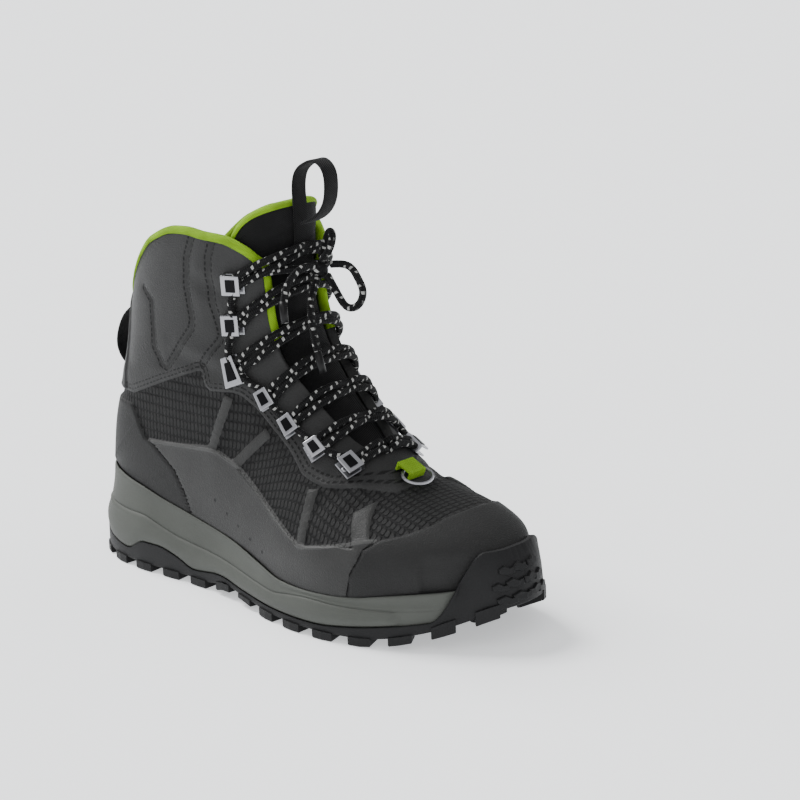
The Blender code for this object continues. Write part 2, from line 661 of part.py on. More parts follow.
def upper_rows():
    """Row number of the last at every mesh row and column, from the toe up to the collar."""
    shares = np.linspace(0, 1, COLUMNS + 1)
    rows = [np.full(COLUMNS + 1, float(t)) for t in FOOT_ROWS]
    for v in SHAFT_ROWS:
        rows.append(HEEL_SEAT_ROW + (collar_row(shares) - HEEL_SEAT_ROW) * v)
    return np.array(rows), shares


def upper_grid(side, lift=0.0, first=0, last=None):
    """Points of one side of the upper moved straight out by lift (in if negative)."""
    rows, shares = upper_rows()
    rows = rows[first:last]
    grid = np.empty(rows.shape + (3,))
    for i, line in enumerate(rows):
        for j, t in enumerate(line):
            edge = throat_half(t) if t > THROAT_ROW + EPS else 0.0
            g = girth(t, side)
            s = edge + (g - edge) * shares[j]
            p = skin(t, s, side)
            if lift:
                n = skin_normal(t, s, side)
                if t < EPS:
                    n = np.array([1.0, 0, 0])
                level = j == len(shares) - 1 and t < HEEL_SEAT_ROW + 1 or t < 0.7
                if level or 9.0 < t < HEEL_SEAT_ROW + 1 and shares[j] > 0.7:
                    n[2] = 0.0
                if j == len(shares) - 1 and t >= HEEL_SEAT_ROW or edge == 0.0 and j == 0:
                    n[1] = 0.0
                p = p + n / np.linalg.norm(n) * lift
            grid[i, j] = p
    return grid


def upper_shell(outer_lift, inner_lift):
    """Closed shell between two lifts of the upper's outside, open at collar, throat and underneath."""
    shell = Shell()
    throat = FOOT_ROWS.index(THROAT_ROW)
    seat = FOOT_ROWS.index(HEEL_SEAT_ROW)
    for side in (-1, 1):
        out = [shell.add(r) for r in upper_grid(side, outer_lift)]
        inn = [shell.add(r) for r in upper_grid(side, inner_lift)]
        for i in range(len(out) - 1):
            shell.strip(out[i], out[i + 1], split=True)
            shell.strip(inn[i], inn[i + 1], split=True)
        shell.strip([r[0] for r in out[throat:]], [r[0] for r in inn[throat:]])
        shell.strip([r[-1] for r in out[:seat + 1]], [r[-1] for r in inn[:seat + 1]])
        shell.strip(out[-1], inn[-1])
    return shell


def build_upper():
    return solid("upper", upper_shell(0.0, -WALL), "leather_grey")


# Overlays, seen from the side: share of LENGTH, share of SHAFT_HEIGHT. Each line runs from its upper end down,
# or from the heel forward.
TOE_CAP_EDGE = [("crest", 0.890, 0.360), ("top", 0.868, 0.305), ("vamp", 0.8365, 0.284), ("corner", 0.8075, 0.273),
                ("cheek", 0.7840, 0.247), ("side", 0.7790, 0.219), ("low side", 0.7680, 0.187), ("foot", 0.7540, 0.090)]
COUNTER_EDGE = [("back", -0.050, 0.469), ("top", 0.168, 0.469), ("slope", 0.2076, 0.378), ("shoulder", 0.228, 0.369),
                ("side", 0.2833, 0.310), ("low side", 0.3057, 0.253), ("foot", 0.3400, 0.090)]
PIPING = [("rear", 0.2160, 0.378), ("level", 0.3849, 0.395), ("knee", 0.4053, 0.394), ("knee front", 0.4230, 0.385),
          ("slope", 0.4541, 0.369), ("slope low", 0.5475, 0.292), ("bend", 0.6286, 0.236), ("low", 0.6494, 0.225),
          ("front", 0.6648, 0.225), ("rise", 0.7296, 0.245), ("end", 0.7980, 0.2690)]
SHAFT_EDGE = [("back", -0.050, 0.500), ("seam rear", 0.1767, 0.500), ("seam", 0.2654, 0.554), ("seam front", 0.3585, 0.606),
              ("notch", 0.3660, 0.605), ("notch low", 0.3780, 0.569), ("heel of band", 0.3874, 0.557),
              ("level", 0.4368, 0.561), ("turn", 0.4557, 0.556), ("band", 0.4852, 0.530), ("band mid", 0.5248, 0.481),
              ("band low", 0.5689, 0.435), ("band foot", 0.6097, 0.385), ("corner", 0.6368, 0.371),
              ("base", 0.6610, 0.361), ("base mid", 0.7101, 0.362), ("front", 0.7640, 0.350), ("crest", 0.7800, 0.420)]
# Ribs from the lower panel to the shaft's edge: foot x, foot z, top x, top z, width in shares of LENGTH.
RIBS = [(0.3893, 0.400, 0.4290, 0.549, 0.0200), (0.4509, 0.373, 0.5180, 0.470, 0.0200),
        (0.6541, 0.228, 0.6440, 0.357, 0.0200), (0.7760, 0.259, 0.7440, 0.330, 0.0280)]
COUNTER_FOOT = 0.277  # lower edge of the counter round the back of the heel, share of SHAFT_HEIGHT
OVERLAY = 0.0012     # thickness of an overlay
HEEL_TAB = [(-0.05, 0.500), (0.155, 0.500), (0.160, 0.740), (0.140, 0.790), (-0.05, 0.800)]


def side_block(name, outline, sides=(-1, 1)):
    """Cutter with this outline in side view, from one side of the boot to the other."""
    shell = Shell()
    low = -BALL_WIDTH if -1 in sides else 0.002
    high = BALL_WIDTH if 1 in sides else -0.002
    area = sum(a[0] * b[1] - b[0] * a[1] for a, b in zip(outline, outline[1:] + outline[:1]))
    outline = outline if area > 0 else outline[::-1]
    rings = [shell.add([(x * LENGTH, y, z * SHAFT_HEIGHT) for x, z in outline]) for y in (high, low)]
    shell.strip(rings[0], rings[1], closed=True)
    shell.faces += [tuple(rings[0][::-1]), tuple(rings[1])]
    return guide(solid(name, shell, None, cutters))


def rim_guide():
    """Ring that takes everything below the midsole's rim and the bumper's top edge off an overlay."""
    shell = Shell()
    top = lambda u, x: max(float(lip_z(u, x)), float(rim_z(x))) + 2 * FIT
    inner = lambda u, x: edge_inset(u) * BALL_WIDTH + 0.012
    outer = lambda u, x: -0.008
    loops = [shell.add(ring(outer, lambda u, x: 0.0)), shell.add(ring(outer, top)), shell.add(ring(inner, top)),
             shell.add(ring(inner, lambda u, x: 0.0))]
    for a, b in zip(loops, loops[1:] + loops[:1]):
        shell.strip(a, b, closed=True)
    return guide(solid("rim_guide", shell, "rubber_black", cutters))


def line(table, dx=0.0, dz=0.0):
    return [(x + dx, z + dz) for _, x, z in table]


def overlay(name, outline, look, sides=(-1, 1), lift=FIT, rim=None, solver="EXACT"):
    """Piece of a shell over the upper, cut to a side-view outline."""
    item = solid(name, upper_shell(lift + OVERLAY, lift), look)
    apply_boolean(item, side_block(name + "_outline", outline, sides), "INTERSECT", solver)
    if rim:
        apply_boolean(item, rim, "DIFFERENCE")
    return item


def over_rim(x):
    """Share of SHAFT_HEIGHT just above the midsole's rim, at a share of LENGTH."""
    return (float(rim_z(x * LENGTH)) + 2 * FIT) / SHAFT_HEIGHT


def down_to_rim(points):
    """The line as far as the midsole's rim."""
    kept = []
    for (ax, az), (bx, bz) in zip(points, points[1:]):
        kept.append((ax, az))
        for f in np.linspace(0, 1, 41):
            x, z = ax + (bx - ax) * f, az + (bz - az) * f
            if z < over_rim(x):
                return kept + [(x, over_rim(x))]
    return kept


def rim_line(start, stop, count=14):
    return [(x, over_rim(x)) for x in np.linspace(start, stop, count)][1:-1]


def build_overlays():
    rim = rim_guide()
    gap = 0.0018
    overlay("toe_cap", line(TOE_CAP_EDGE) + [(1.05, 0.05), (1.05, 0.40)], "rubber_matte", rim=rim)
    counter = down_to_rim(line(COUNTER_EDGE))
    counter += rim_line(counter[-1][0], 0.095) + [(0.088, COUNTER_FOOT), (-0.05, COUNTER_FOOT)]
    overlay("heel_counter", counter, "rubber_matte", solver="MANIFOLD")
    cage = line(PIPING)
    for foot_x, foot_z, top_x, top_z, width in RIBS:
        run, rise = (top_x - foot_x) * LENGTH, (top_z - foot_z) * SHAFT_HEIGHT
        size = math.hypot(run, rise)
        dx, dz = -rise / size * width / 2, run / size * width / 2 * LENGTH / SHAFT_HEIGHT
        cage = [p for p in cage if abs(p[0] - foot_x) > width * 0.7 or p[1] > 0.41]
        at = max(i for i, p in enumerate(cage) if p[0] < foot_x) + 1
        cage[at:at] = [(foot_x + dx, foot_z + dz), (top_x + dx, top_z + dz), (top_x - dx, top_z - dz),
                       (foot_x - dx, foot_z - dz)]
    front = down_to_rim([p for p in line(TOE_CAP_EDGE, -gap) if p[1] < PIPING[-1][2]])
    rear = down_to_rim([p for p in line(COUNTER_EDGE, gap) if p[1] < PIPING[0][2]])
    outline = cage + front + rim_line(front[-1][0], rear[-1][0], 20) + rear[::-1]
    for side, name in ((-1, "side_panel_outer"), (1, "side_panel_inner")):
        overlay(name, outline, "leather_grey", (side,))
    overlay("shaft_panel", line(SHAFT_EDGE) + [(0.95, 1.30), (-0.05, 1.30)], "leather_grey")
    overlay("heel_tab", HEEL_TAB, "webbing_black", lift=OVERLAY + 2 * FIT)


# Tongue: row of the last, half width over the surface and depth below the upper's outside, in shares of BALL_WIDTH.
TONGUE = [(5.05, 0.150, 0.0320), (5.6, 0.195, 0.0320), (6.6, 0.235, 0.0320), (7.8, 0.250, 0.0320), (9.0, 0.262, 0.0320),
          (10.2, 0.280, 0.0320), (11.2, 0.300, 0.0320), (12.2, 0.325, 0.0320), (13.1, 0.345, 0.0320),
          (14.0, 0.365, 0.0320), (14.8, 0.385, 0.0320)]
TONGUE_TOP = 15.05


def build_tongue():
    shell = Shell()
    half = steady([(t, w) for t, w, _ in TONGUE])
    deep = steady([(t, d) for t, _, d in TONGUE])
    outer, inner = [], []
    count = 6
    for t in [5.05, 5.6, 6.2, 6.9, 7.6, 8.4, 9.2, 10.0, 10.8, 11.6, 12.4, 13.2, 14.0, 14.6, TONGUE_TOP]:
        top, under = [], []
        for k in range(-count, count + 1):
            f = abs(k) / count
            side = -1 if k < 0 else 1
            row = t - (0.75 * f**6 if t > 14.9 else 0.35 * f**6 if t > 14.3 else 0.0)
            s = f * half(t) * BALL_WIDTH
            p, n = skin(row, s, side), skin_normal(row, s, side)
            if k == 0:
                n[1] = 0.0
                n = n / np.linalg.norm(n)
            thick = TONGUE_THICK * (1.0 if t < 12 else 1.0 + 0.5 * (t - 12) / 3) * (1 - 0.45 * f**3)
            drop = deep(t) * BALL_WIDTH
            top.append(p - n * drop)
            under.append(p - n * (drop + thick))
        outer.append(shell.add(top))
        inner.append(shell.add(under))
    for i in range(len(outer) - 1):
        shell.strip(outer[i], outer[i + 1])
        shell.strip(inner[i], inner[i + 1])
    for k in (0, -1):
        shell.strip([r[k] for r in outer], [r[k] for r in inner])
    shell.strip(outer[0], inner[0])
    shell.strip(outer[-1], inner[-1])
    build_binding("tongue_binding", tongue_edge(half, deep), 0.0026,
                  -0.0060, 0.0006)
    return solid("tongue", shell, "tongue_black")


def tongue_edge(half, deep):
    """Points along the tongue's top edge, each with the way out of its front face."""
    points = []
    for k in range(-6, 7):
        f = abs(k) / 6
        side = -1 if k < 0 else 1
        row = TONGUE_TOP - 0.75 * f**6
        s = f * half(TONGUE_TOP) * BALL_WIDTH
        n = skin_normal(row, s, side)
        if k == 0:
            n[1] = 0.0
            n = n / np.linalg.norm(n)
        points.append((skin(row, s, side) - n * deep(TONGUE_TOP) * BALL_WIDTH, n))
    return points


def build_binding(name, edge, high, low_n, high_n):
    """Strip that caps an edge: edge is a list of (point, normal); high is how far it stands past the edge."""
    shell = Shell()
    points = np.array([p for p, _ in edge])
    normals = np.array([n for _, n in edge])
    tangent = np.gradient(points, axis=0)
    tangent /= np.linalg.norm(tangent, axis=1)[:, None]
    past = np.cross(normals, tangent)
    past /= np.linalg.norm(past, axis=1)[:, None]
    mid = (low_n + high_n) / 2
    loops = []
    for p, n, e in zip(points, normals, past):
        loops.append(shell.add([p + n * high_n + e * 2 * FIT, p + n * high_n + e * high * 0.6, p + n * mid + e * high,
                                p + n * low_n + e * high * 0.6, p + n * low_n + e * 2 * FIT]))
    for a, b in zip(loops, loops[1:]):
        shell.strip(a, b, closed=True)
    shell.faces += [tuple(loops[0][::-1]), tuple(loops[-1])]
    return solid(name, shell, "trim_green")


BINDING_START = 9.35   # row at which the green edging begins, beside the lowest hook


def build_collar_binding():
    rows, shares = upper_rows()
    edge = []
    start = next(i for i, line in enumerate(rows) if line[0] > BINDING_START)
    for side in (-1, 1):
        places = [(rows[i][0], 0.0) for i in range(start, len(rows))]
        places += [(rows[-1][j], shares[j]) for j in range(1, len(shares))]
        half = []
        for t, share in places:
            open_edge = throat_half(t)
            s = open_edge + (girth(t, side) - open_edge) * share
            n = skin_normal(t, s, side)
            if share == 1.0:
                n[1] = 0.0
                n = n / np.linalg.norm(n)
            half.append((skin(t, s, side), n))
        edge += half if side < 0 else half[::-1][1:]
    return build_binding("collar_binding", edge[::-1], 0.0034, -WALL - 0.0002, OVERLAY + 0.0008)


def place(t, s, side, lift):
    """A frame on the boot: point, way out, way up the throat, way round towards the back."""
    p, n = skin(t, s, side), skin_normal(t, s, side)
    if s < EPS:
        n[1] = 0.0
        n = n / np.linalg.norm(n)
    ahead = skin(t + 0.15, s, side) - skin(t - 0.15, s, side)
    ahead = ahead - n * (ahead @ n)
    ahead /= np.linalg.norm(ahead)
    return p + n * lift, n, ahead, np.cross(ahead, n) * (1 if side < 0 else -1)


# Fittings down each side: name, row, share of the way round, half length, half width, height, taper, opening.
# The hooks open to the back of the boot, the loops to the throat. Sizes are in metres.
FITTINGS = [
    ("hook_top", 12.35, 0.212, 0.0058, 0.0062, 0.0052, 0.00, 1), ("hook_second", 10.75, 0.212, 0.0058, 0.0062, 0.0052, 0.00, 1),
    ("hook_ankle", 9.45, 0.300, 0.0085, 0.0095, 0.0052, 0.55, 1), ("loop_upper", 8.40, 0.290, 0.0055, 0.0062, 0.0058, 0.25, -1),
    ("loop_middle", 7.53, 0.305, 0.0055, 0.0062, 0.0058, 0.25, -1), ("loop_lower", 6.66, 0.305, 0.0055, 0.0062, 0.0058, 0.25, -1),
    ("loop_base", 5.80, 0.246, 0.0060, 0.0062, 0.0058, 0.10, -1),
]
FITTING_LIFT = OVERLAY + 0.0011
SHEET = 0.0012        # metal of a hook or loop
TURN = 0.0090         # from a fitting's middle to where the lace turns back, over the surface


def build_fittings():
    """Folded metal plates: a base on the leather, a wall and a roof, open on one side."""
    for side, where in ((-1, "outer"), (1, "inner")):
        for name, t, share, long, wide, high, taper, opening in FITTINGS:
            p, n, ahead, back = place(t, share * girth(t, side), side, FITTING_LIFT)
            w = wide * opening
            profile = [(w, 0), (-w, 0), (-w, high), (w * 0.75, high), (w * 0.75, high - SHEET), (-w * 0.62, high - SHEET),
                       (-w * 0.62, SHEET), (w, SHEET)]
            shell = Shell()
            rings = []
            for end in (-1, 1):
                narrow = 1 - taper * (0.5 if end < 0 else 1.0)
                rings.append(shell.add([p + ahead * end * long + back * b * narrow + n * c for b, c in profile]))
            shell.strip(rings[0], rings[1], closed=True)
            shell.faces += [tuple(rings[0]), tuple(rings[1][::-1])]
            solid(f"{name}_{where}", shell, "metal_silver")


LACE_RADIUS = 0.0021
LACE_REST = 0.0018    # lace's middle above the skin at the crest
LACE_EDGE = 0.0054    # and where it turns back beside a fitting
KNOT = (0.5590, 0.0, 0.893)   # share of LENGTH, BALL_WIDTH and SHAFT_HEIGHT
KNOT_SIZE = (0.0062, 0.0058, 0.0052)


def knot_point():
    return np.array([KNOT[0] * LENGTH, KNOT[1] * BALL_WIDTH, KNOT[2] * SHAFT_HEIGHT])


def strand(first):
    """Route of one half of the lace, from the lowest row up, crossing the throat at each row."""
    turns = []
    side = first
    for name, t, share, *_ in FITTINGS[::-1]:
        turns.append((t, side, share * girth(t, side) - TURN))
        side = -side
    points = []
    for (t0, side0, s0), (t1, side1, s1) in zip(turns, turns[1:]):
        for f in np.linspace(0, 1, 7)[:-1]:
            across = (1 - f) * s0 * side0 + f * s1 * side1
            where = 1 if across > 0 else -1
            row = t0 + (t1 - t0) * f
            lean = min(abs(across) / max(throat_half(row) - 0.005, 0.004), 1.0)
            p, n, _, _ = place(row, abs(across), where, 0.0)
            points.append(p + n * (LACE_REST + (LACE_EDGE - LACE_REST) * lean))
    t, side, s = turns[-1]
    p, n, _, _ = place(t, s, side, 0.0)
    last = p + n * LACE_EDGE
    end = on_knot(last - knot_point())
    points += [last, last * 0.55 + end * 0.45 + n * 0.0012, last * 0.2 + end * 0.8, end]
    return points


def on_knot(way):
    """Middle of a cord's end face that meets the knot from this direction."""
    way = np.array(way, float) / np.linalg.norm(way)
    return knot_point() + way * (1 / np.linalg.norm(way / np.array(KNOT_SIZE)) + 2 * FIT)


def tube(name, points, radius, look, resolution=2):
    """Round cord through the points, as a filled curve."""
    curve = bpy.data.curves.new(name, "CURVE")
    curve.dimensions, curve.bevel_depth, curve.bevel_resolution, curve.use_fill_caps = "3D", radius, resolution, True
    spline = curve.splines.new("POLY")
    spline.points.add(len(points) - 1)
    for target, p in zip(spline.points, points):
        target.co = (*map(float, p), 1)
    curve.materials.append(material(look))
    item = bpy.data.objects.new(name, curve)
    collection.objects.link(item)
    return item


def to_mesh(item, home=None):
    """Replaces a curve by its own mesh, welded shut."""
    graph = bpy.context.evaluated_depsgraph_get()
    graph.update()
    mesh = bpy.data.meshes.new_from_object(item.evaluated_get(graph))
    bm = bmesh.new()
    bm.from_mesh(mesh)
    bmesh.ops.remove_doubles(bm, verts=bm.verts, dist=EPS)
    bm.to_mesh(mesh)
    bm.free()
    made = bpy.data.objects.new(item.name + "_mesh", mesh)
    (home or collection).objects.link(made)
    name = item.name
    bpy.data.objects.remove(item, do_unlink=True)
    made.name = name
    return made


def build_lace():
    """The crossings, joined to one solid by the bar at the lowest row and where they cross."""
    one = to_mesh(tube("lace_bars", strand(-1), LACE_RADIUS, "lace_black", 1))
    other = guide(to_mesh(tube("lace_second", strand(1), LACE_RADIUS, "lace_black", 1), cutters))
    apply_boolean(one, other, "UNION")


# Free parts of the lace, routes chosen by hand: share of LENGTH, share of BALL_WIDTH, share of SHAFT_HEIGHT.
LOOP_FRONT = [(0.6080, 0.060, 0.900), (0.6330, 0.050, 0.872), (0.6500, 0.030, 0.838), (0.6440, 0.010, 0.808),
              (0.6240, 0.000, 0.800), (0.6030, 0.000, 0.825)]
LOOP_TOP = [(0.5560, 0.050, 0.950), (0.5660, 0.052, 0.985), (0.5860, 0.020, 0.980), (0.5880, -0.006, 0.950)]
END_ONE = [(0.5620, -0.110, 0.905), (0.5600, -0.185, 0.885), (0.5600, -0.240, 0.835), (0.5680, -0.262, 0.775)]
END_TWO = [(0.5700, -0.095, 0.815), (0.5850, -0.135, 0.765), (0.6000, -0.150, 0.700), (0.6120, -0.150, 0.640)]
# Free pieces of the lace: name, route, way out of the knot, way back into it, number of points.
FREE_LACE = [
    ("lace_loop_front", LOOP_FRONT, (0.8, 0.5, 0.3), (0.85, 0.0, -0.5), 18),
    ("lace_loop_top", LOOP_TOP, (-0.15, 0.4, 0.9), (0.5, -0.15, 0.85), 13),
    ("lace_end_one", END_ONE, (0.15, -0.95, 0.3), None, 9), ("lace_end_two", END_TWO, (0.1, -0.45, -0.9), None, 11),
]


def build_free_lace():
    knot = bmesh.new()
    bmesh.ops.create_uvsphere(knot, u_segments=12, v_segments=8, radius=1.0)
    bmesh.ops.scale(knot, vec=KNOT_SIZE, verts=knot.verts)
    bmesh.ops.translate(knot, vec=tuple(knot_point()), verts=knot.verts)
    mesh = bpy.data.meshes.new("lace_knot")
    knot.to_mesh(mesh)
    knot.free()
    mesh.materials.append(material("lace_black"))
    collection.objects.link(bpy.data.objects.new("lace_knot", mesh))
    for name, route, leave, enter, count in FREE_LACE:
        points = [tuple(on_knot(leave))] + [(x * LENGTH, y * BALL_WIDTH, z * SHAFT_HEIGHT) for x, y, z in route]
        points = np.array(points + ([tuple(on_knot(enter))] if enter else []))
        d = along(points)
        tube(name, natural_spline(d, points)(np.linspace(0, d[-1], count)), LACE_RADIUS, "lace_black", 2)


def build_band(name, path, width, thick, look, middle=0.0):
    """Webbing: a line in side view, given as points, made thick to its left and extruded across the boot."""
    points = np.array([(x * LENGTH, z * SHAFT_HEIGHT) for x, z in path])
    d = along(points)
    points = natural_spline(d, points)(np.linspace(0, d[-1], 3 * len(path)))
    tangent = np.gradient(points, axis=0)
    tangent /= np.linalg.norm(tangent, axis=1)[:, None]
    normal = np.c_[-tangent[:, 1], tangent[:, 0]]
    shell = Shell()
    loops = []
    for p, n in zip(points, normal):
        a, b = p - n * thick / 2, p + n * thick / 2
        y0, y1 = middle - width / 2, middle + width / 2
        loops.append(shell.add([(a[0], y0, a[1]), (a[0], y1, a[1]), (b[0], y1, b[1]), (b[0], y0, b[1])]))
    for a, b in zip(loops, loops[1:]):
        shell.strip(a, b, closed=True)
    shell.faces += [tuple(loops[0][::-1]), tuple(loops[-1])]
    return solid(name, shell, look)


# Webbing in side view: share of LENGTH, share of SHAFT_HEIGHT.
PULL_LOOP = [(0.5165, 0.935), (0.5165, 0.985), (0.5170, 1.045), (0.5160, 1.100), (0.5250, 1.145), (0.5480, 1.170),
             (0.5720, 1.178), (0.5900, 1.160), (0.5960, 1.115), (0.5900, 1.072), (0.5680, 1.034), (0.5330, 1.010)]
HEEL_LOOP = [(0.0820, 0.700), (0.0530, 0.668), (0.0340, 0.620), (0.0290, 0.575), (0.0400, 0.543), (0.0650, 0.532)]
HEEL_LOOP_ROWS = (14.40, 14.20, 12.97, 12.85)   # where it lies on the back seam, above and below
HEEL_LOOP_THICK = 0.0018


def heel_loop_path():
    """The loop with both its ends laid on the heel tab."""
    lift = 2 * OVERLAY + 2 * FIT + 1.6 * FIT + HEEL_LOOP_THICK / 2
    ends = []
    for t in HEEL_LOOP_ROWS:
        p, ahead = back_seam(t), back_seam(t + 0.1) - back_seam(t - 0.1)
        n = np.array([-ahead[2], 0, ahead[0]]) / np.linalg.norm(ahead)
        p = p + n * lift
        ends.append((p[0] / LENGTH, p[2] / SHAFT_HEIGHT))
    return ends[:2] + HEEL_LOOP + ends[2:]


def build_keeper():
    """Green tab at the foot of the throat and the metal ring that it holds."""
    p, n, ahead, back = place(4.95, 0.0, -1, OVERLAY + 0.0011)
    half, high, cloth = 0.0055, 0.0048, 0.0013
    profile = [(-half, 0), (-half, high), (half, high), (half, 0), (half - cloth, 0), (half - cloth, high - cloth),
               (cloth - half, high - cloth), (cloth - half, 0)]
    shell = Shell()
    rings = [shell.add([p + ahead * a + n * c + np.array([0, y, 0]) for a, c in profile]) for y in (-0.006, 0.006)]
    shell.strip(rings[0], rings[1], closed=True)
    shell.faces += [tuple(rings[0]), tuple(rings[1][::-1])]
    solid("lace_keeper", shell, "trim_green")
    wire = 0.0009
    turn = np.linspace(0, 2 * math.pi, 20, endpoint=False)
    shell = Shell()
    middle = p + n * (wire + 0.0009) - ahead * 0.0058
    loops = []
    for a in turn:
        out = ahead * math.cos(a) * 0.0072 + np.array([0, math.sin(a) * 0.0098, 0])
        way = out / np.linalg.norm(out)
        loops.append(shell.add([middle + out + way * wire * math.cos(b) + n * wire * math.sin(b)
                                for b in np.linspace(0, 2 * math.pi, 6, endpoint=False)]))
    for a, b in zip(loops, loops[1:] + loops[:1]):
        shell.strip(a, b, closed=True)
    solid("keeper_ring", shell, "metal_silver")


def main():
    for item in list(bpy.data.objects):
        bpy.data.objects.remove(item, do_unlink=True)
    bpy.context.scene.collection.children.link(collection)
    bpy.context.scene.collection.children.link(cutters)
    build_outsole()
    build_midsole()
    build_insole()
    build_upper()
    build_tongue()
    build_overlays()
    build_collar_binding()
    build_fittings()
    build_keeper()
    build_lace()
    build_free_lace()
    build_band("pull_loop", PULL_LOOP, 0.010, 0.0016, "webbing_black")
    build_band("heel_loop", heel_loop_path(), 0.018, HEEL_LOOP_THICK, "webbing_black")
    shift = Matrix.Translation((-HEEL_REST * LENGTH, 0, 0))
    for item in list(collection.objects) + list(cutters.objects):
        item.data.transform(shift)


main()
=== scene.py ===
# Lace-up wading boot, right foot: its looks. Metres; +X to the toe, +Z up, -Y the outer side.
import math

import bmesh
import bpy
import numpy as np
from mathutils import Matrix, Vector


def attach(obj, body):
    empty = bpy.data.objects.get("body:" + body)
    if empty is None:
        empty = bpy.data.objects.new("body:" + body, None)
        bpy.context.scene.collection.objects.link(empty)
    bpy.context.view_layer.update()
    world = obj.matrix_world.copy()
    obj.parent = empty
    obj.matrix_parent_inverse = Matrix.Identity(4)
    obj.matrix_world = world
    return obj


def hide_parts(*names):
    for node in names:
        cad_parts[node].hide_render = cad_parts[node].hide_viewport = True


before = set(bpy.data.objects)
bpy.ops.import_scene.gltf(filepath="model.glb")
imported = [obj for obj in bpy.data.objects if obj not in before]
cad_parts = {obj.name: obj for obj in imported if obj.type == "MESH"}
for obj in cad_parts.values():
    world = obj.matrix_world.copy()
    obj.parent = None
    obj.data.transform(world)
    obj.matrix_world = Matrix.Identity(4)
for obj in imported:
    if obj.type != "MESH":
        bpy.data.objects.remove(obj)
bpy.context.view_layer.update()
print("frame loaded:", len(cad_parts), "nodes")

# the boot's own sizes, the same as in its solids
boot = {
    "length": 0.318, "ballWidth": 0.118, "shaftHeight": 0.210, "heelRim": 0.0545, "foreRim": 0.0245,
    "lugDepth": 0.004, "floorRubber": 0.0020, "wall": 0.0024, "fit": 0.0003, "cupDepth": 0.0055,
    "bumperTop": 0.0525, "bedTop": 0.0340, "bumperRoom": 0.0008, "overlay": 0.0012, "originShare": 0.125,
}
length, ballWidth, shaftHeight = boot["length"], boot["ballWidth"], boot["shaftHeight"]
heelSeatRow, throatRow = 11.0, 5.6

# outline of the sole: share of length, share of ball width
outlinePoints = [
    (0.000, 0.000), (0.036, -0.230), (0.145, -0.370), (0.290, -0.375), (0.425, -0.395), (0.550, -0.470),
    (0.668, -0.512), (0.822, -0.430), (0.940, -0.225), (1.000, 0.050), (0.955, 0.300), (0.842, 0.435),
    (0.708, 0.485), (0.566, 0.440), (0.410, 0.355), (0.283, 0.345), (0.145, 0.350), (0.036, 0.222),
]
# sections of the last: crest x and z, edge, back x and z, outer and inner width,
# where it is widest, roundness of crest and edge, crest y
sections = [
    (0.9800, 0.138, 0.000, 0, 0, 0.008, 0.008, 0.50, 2.2, 2.0, 0.050),
    (0.9745, 0.203, 0.028, 0, 0, 0.060, 0.060, 0.62, 2.6, 2.2, 0.050),
    (0.9580, 0.250, 0.072, 0, 0, 0.150, 0.150, 0.66, 2.8, 2.3, 0.050),
    (0.8980, 0.303, 0.145, 0, 0, 0.300, 0.290, 0.70, 2.7, 2.3, 0.042),
    (0.8110, 0.337, 0.235, 0, 0, 0.435, 0.390, 0.72, 2.4, 2.2, 0.034),
    (0.7360, 0.374, 0.330, 0, 0, 0.502, 0.418, 0.76, 2.1, 2.1, 0.034),
    (0.6700, 0.440, 0.430, 0, 0, 0.486, 0.390, 0.78, 2.0, 2.1, 0.034),
    (0.6180, 0.526, 0.530, 0, 0, 0.420, 0.352, 0.78, 2.0, 2.1, 0.034),
    (0.5760, 0.617, 0.640, 0, 0, 0.362, 0.334, 0.74, 2.1, 2.1, 0.025),
    (0.5440, 0.708, 0.760, 0, 0, 0.340, 0.330, 0.66, 2.2, 2.3, 0.010),
    (0.5270, 0.793, 0.880, 0, 0, 0.330, 0.320, 0.60, 2.3, 2.5, 0.003),
    (0.5200, 0.866, 1.000, 0, 0, 0.320, 0.312, 0.56, 2.4, 2.7, 0),
    (0.5180, 0.922, 1.000, 0.0630, 0.395, 0.318, 0.310, 0.54, 2.5, 2.9, 0),
    (0.5190, 0.970, 1.000, 0.1010, 0.545, 0.316, 0.312, 0.52, 2.6, 2.7, 0),
    (0.5200, 1.010, 1.000, 0.1180, 0.690, 0.322, 0.318, 0.52, 2.6, 2.4, 0),
    (0.5210, 1.052, 1.000, 0.1350, 0.835, 0.328, 0.324, 0.52, 2.6, 2.2, 0),
    (0.5210, 1.104, 1.000, 0.1480, 0.980, 0.332, 0.328, 0.52, 2.6, 2.2, 0),
]
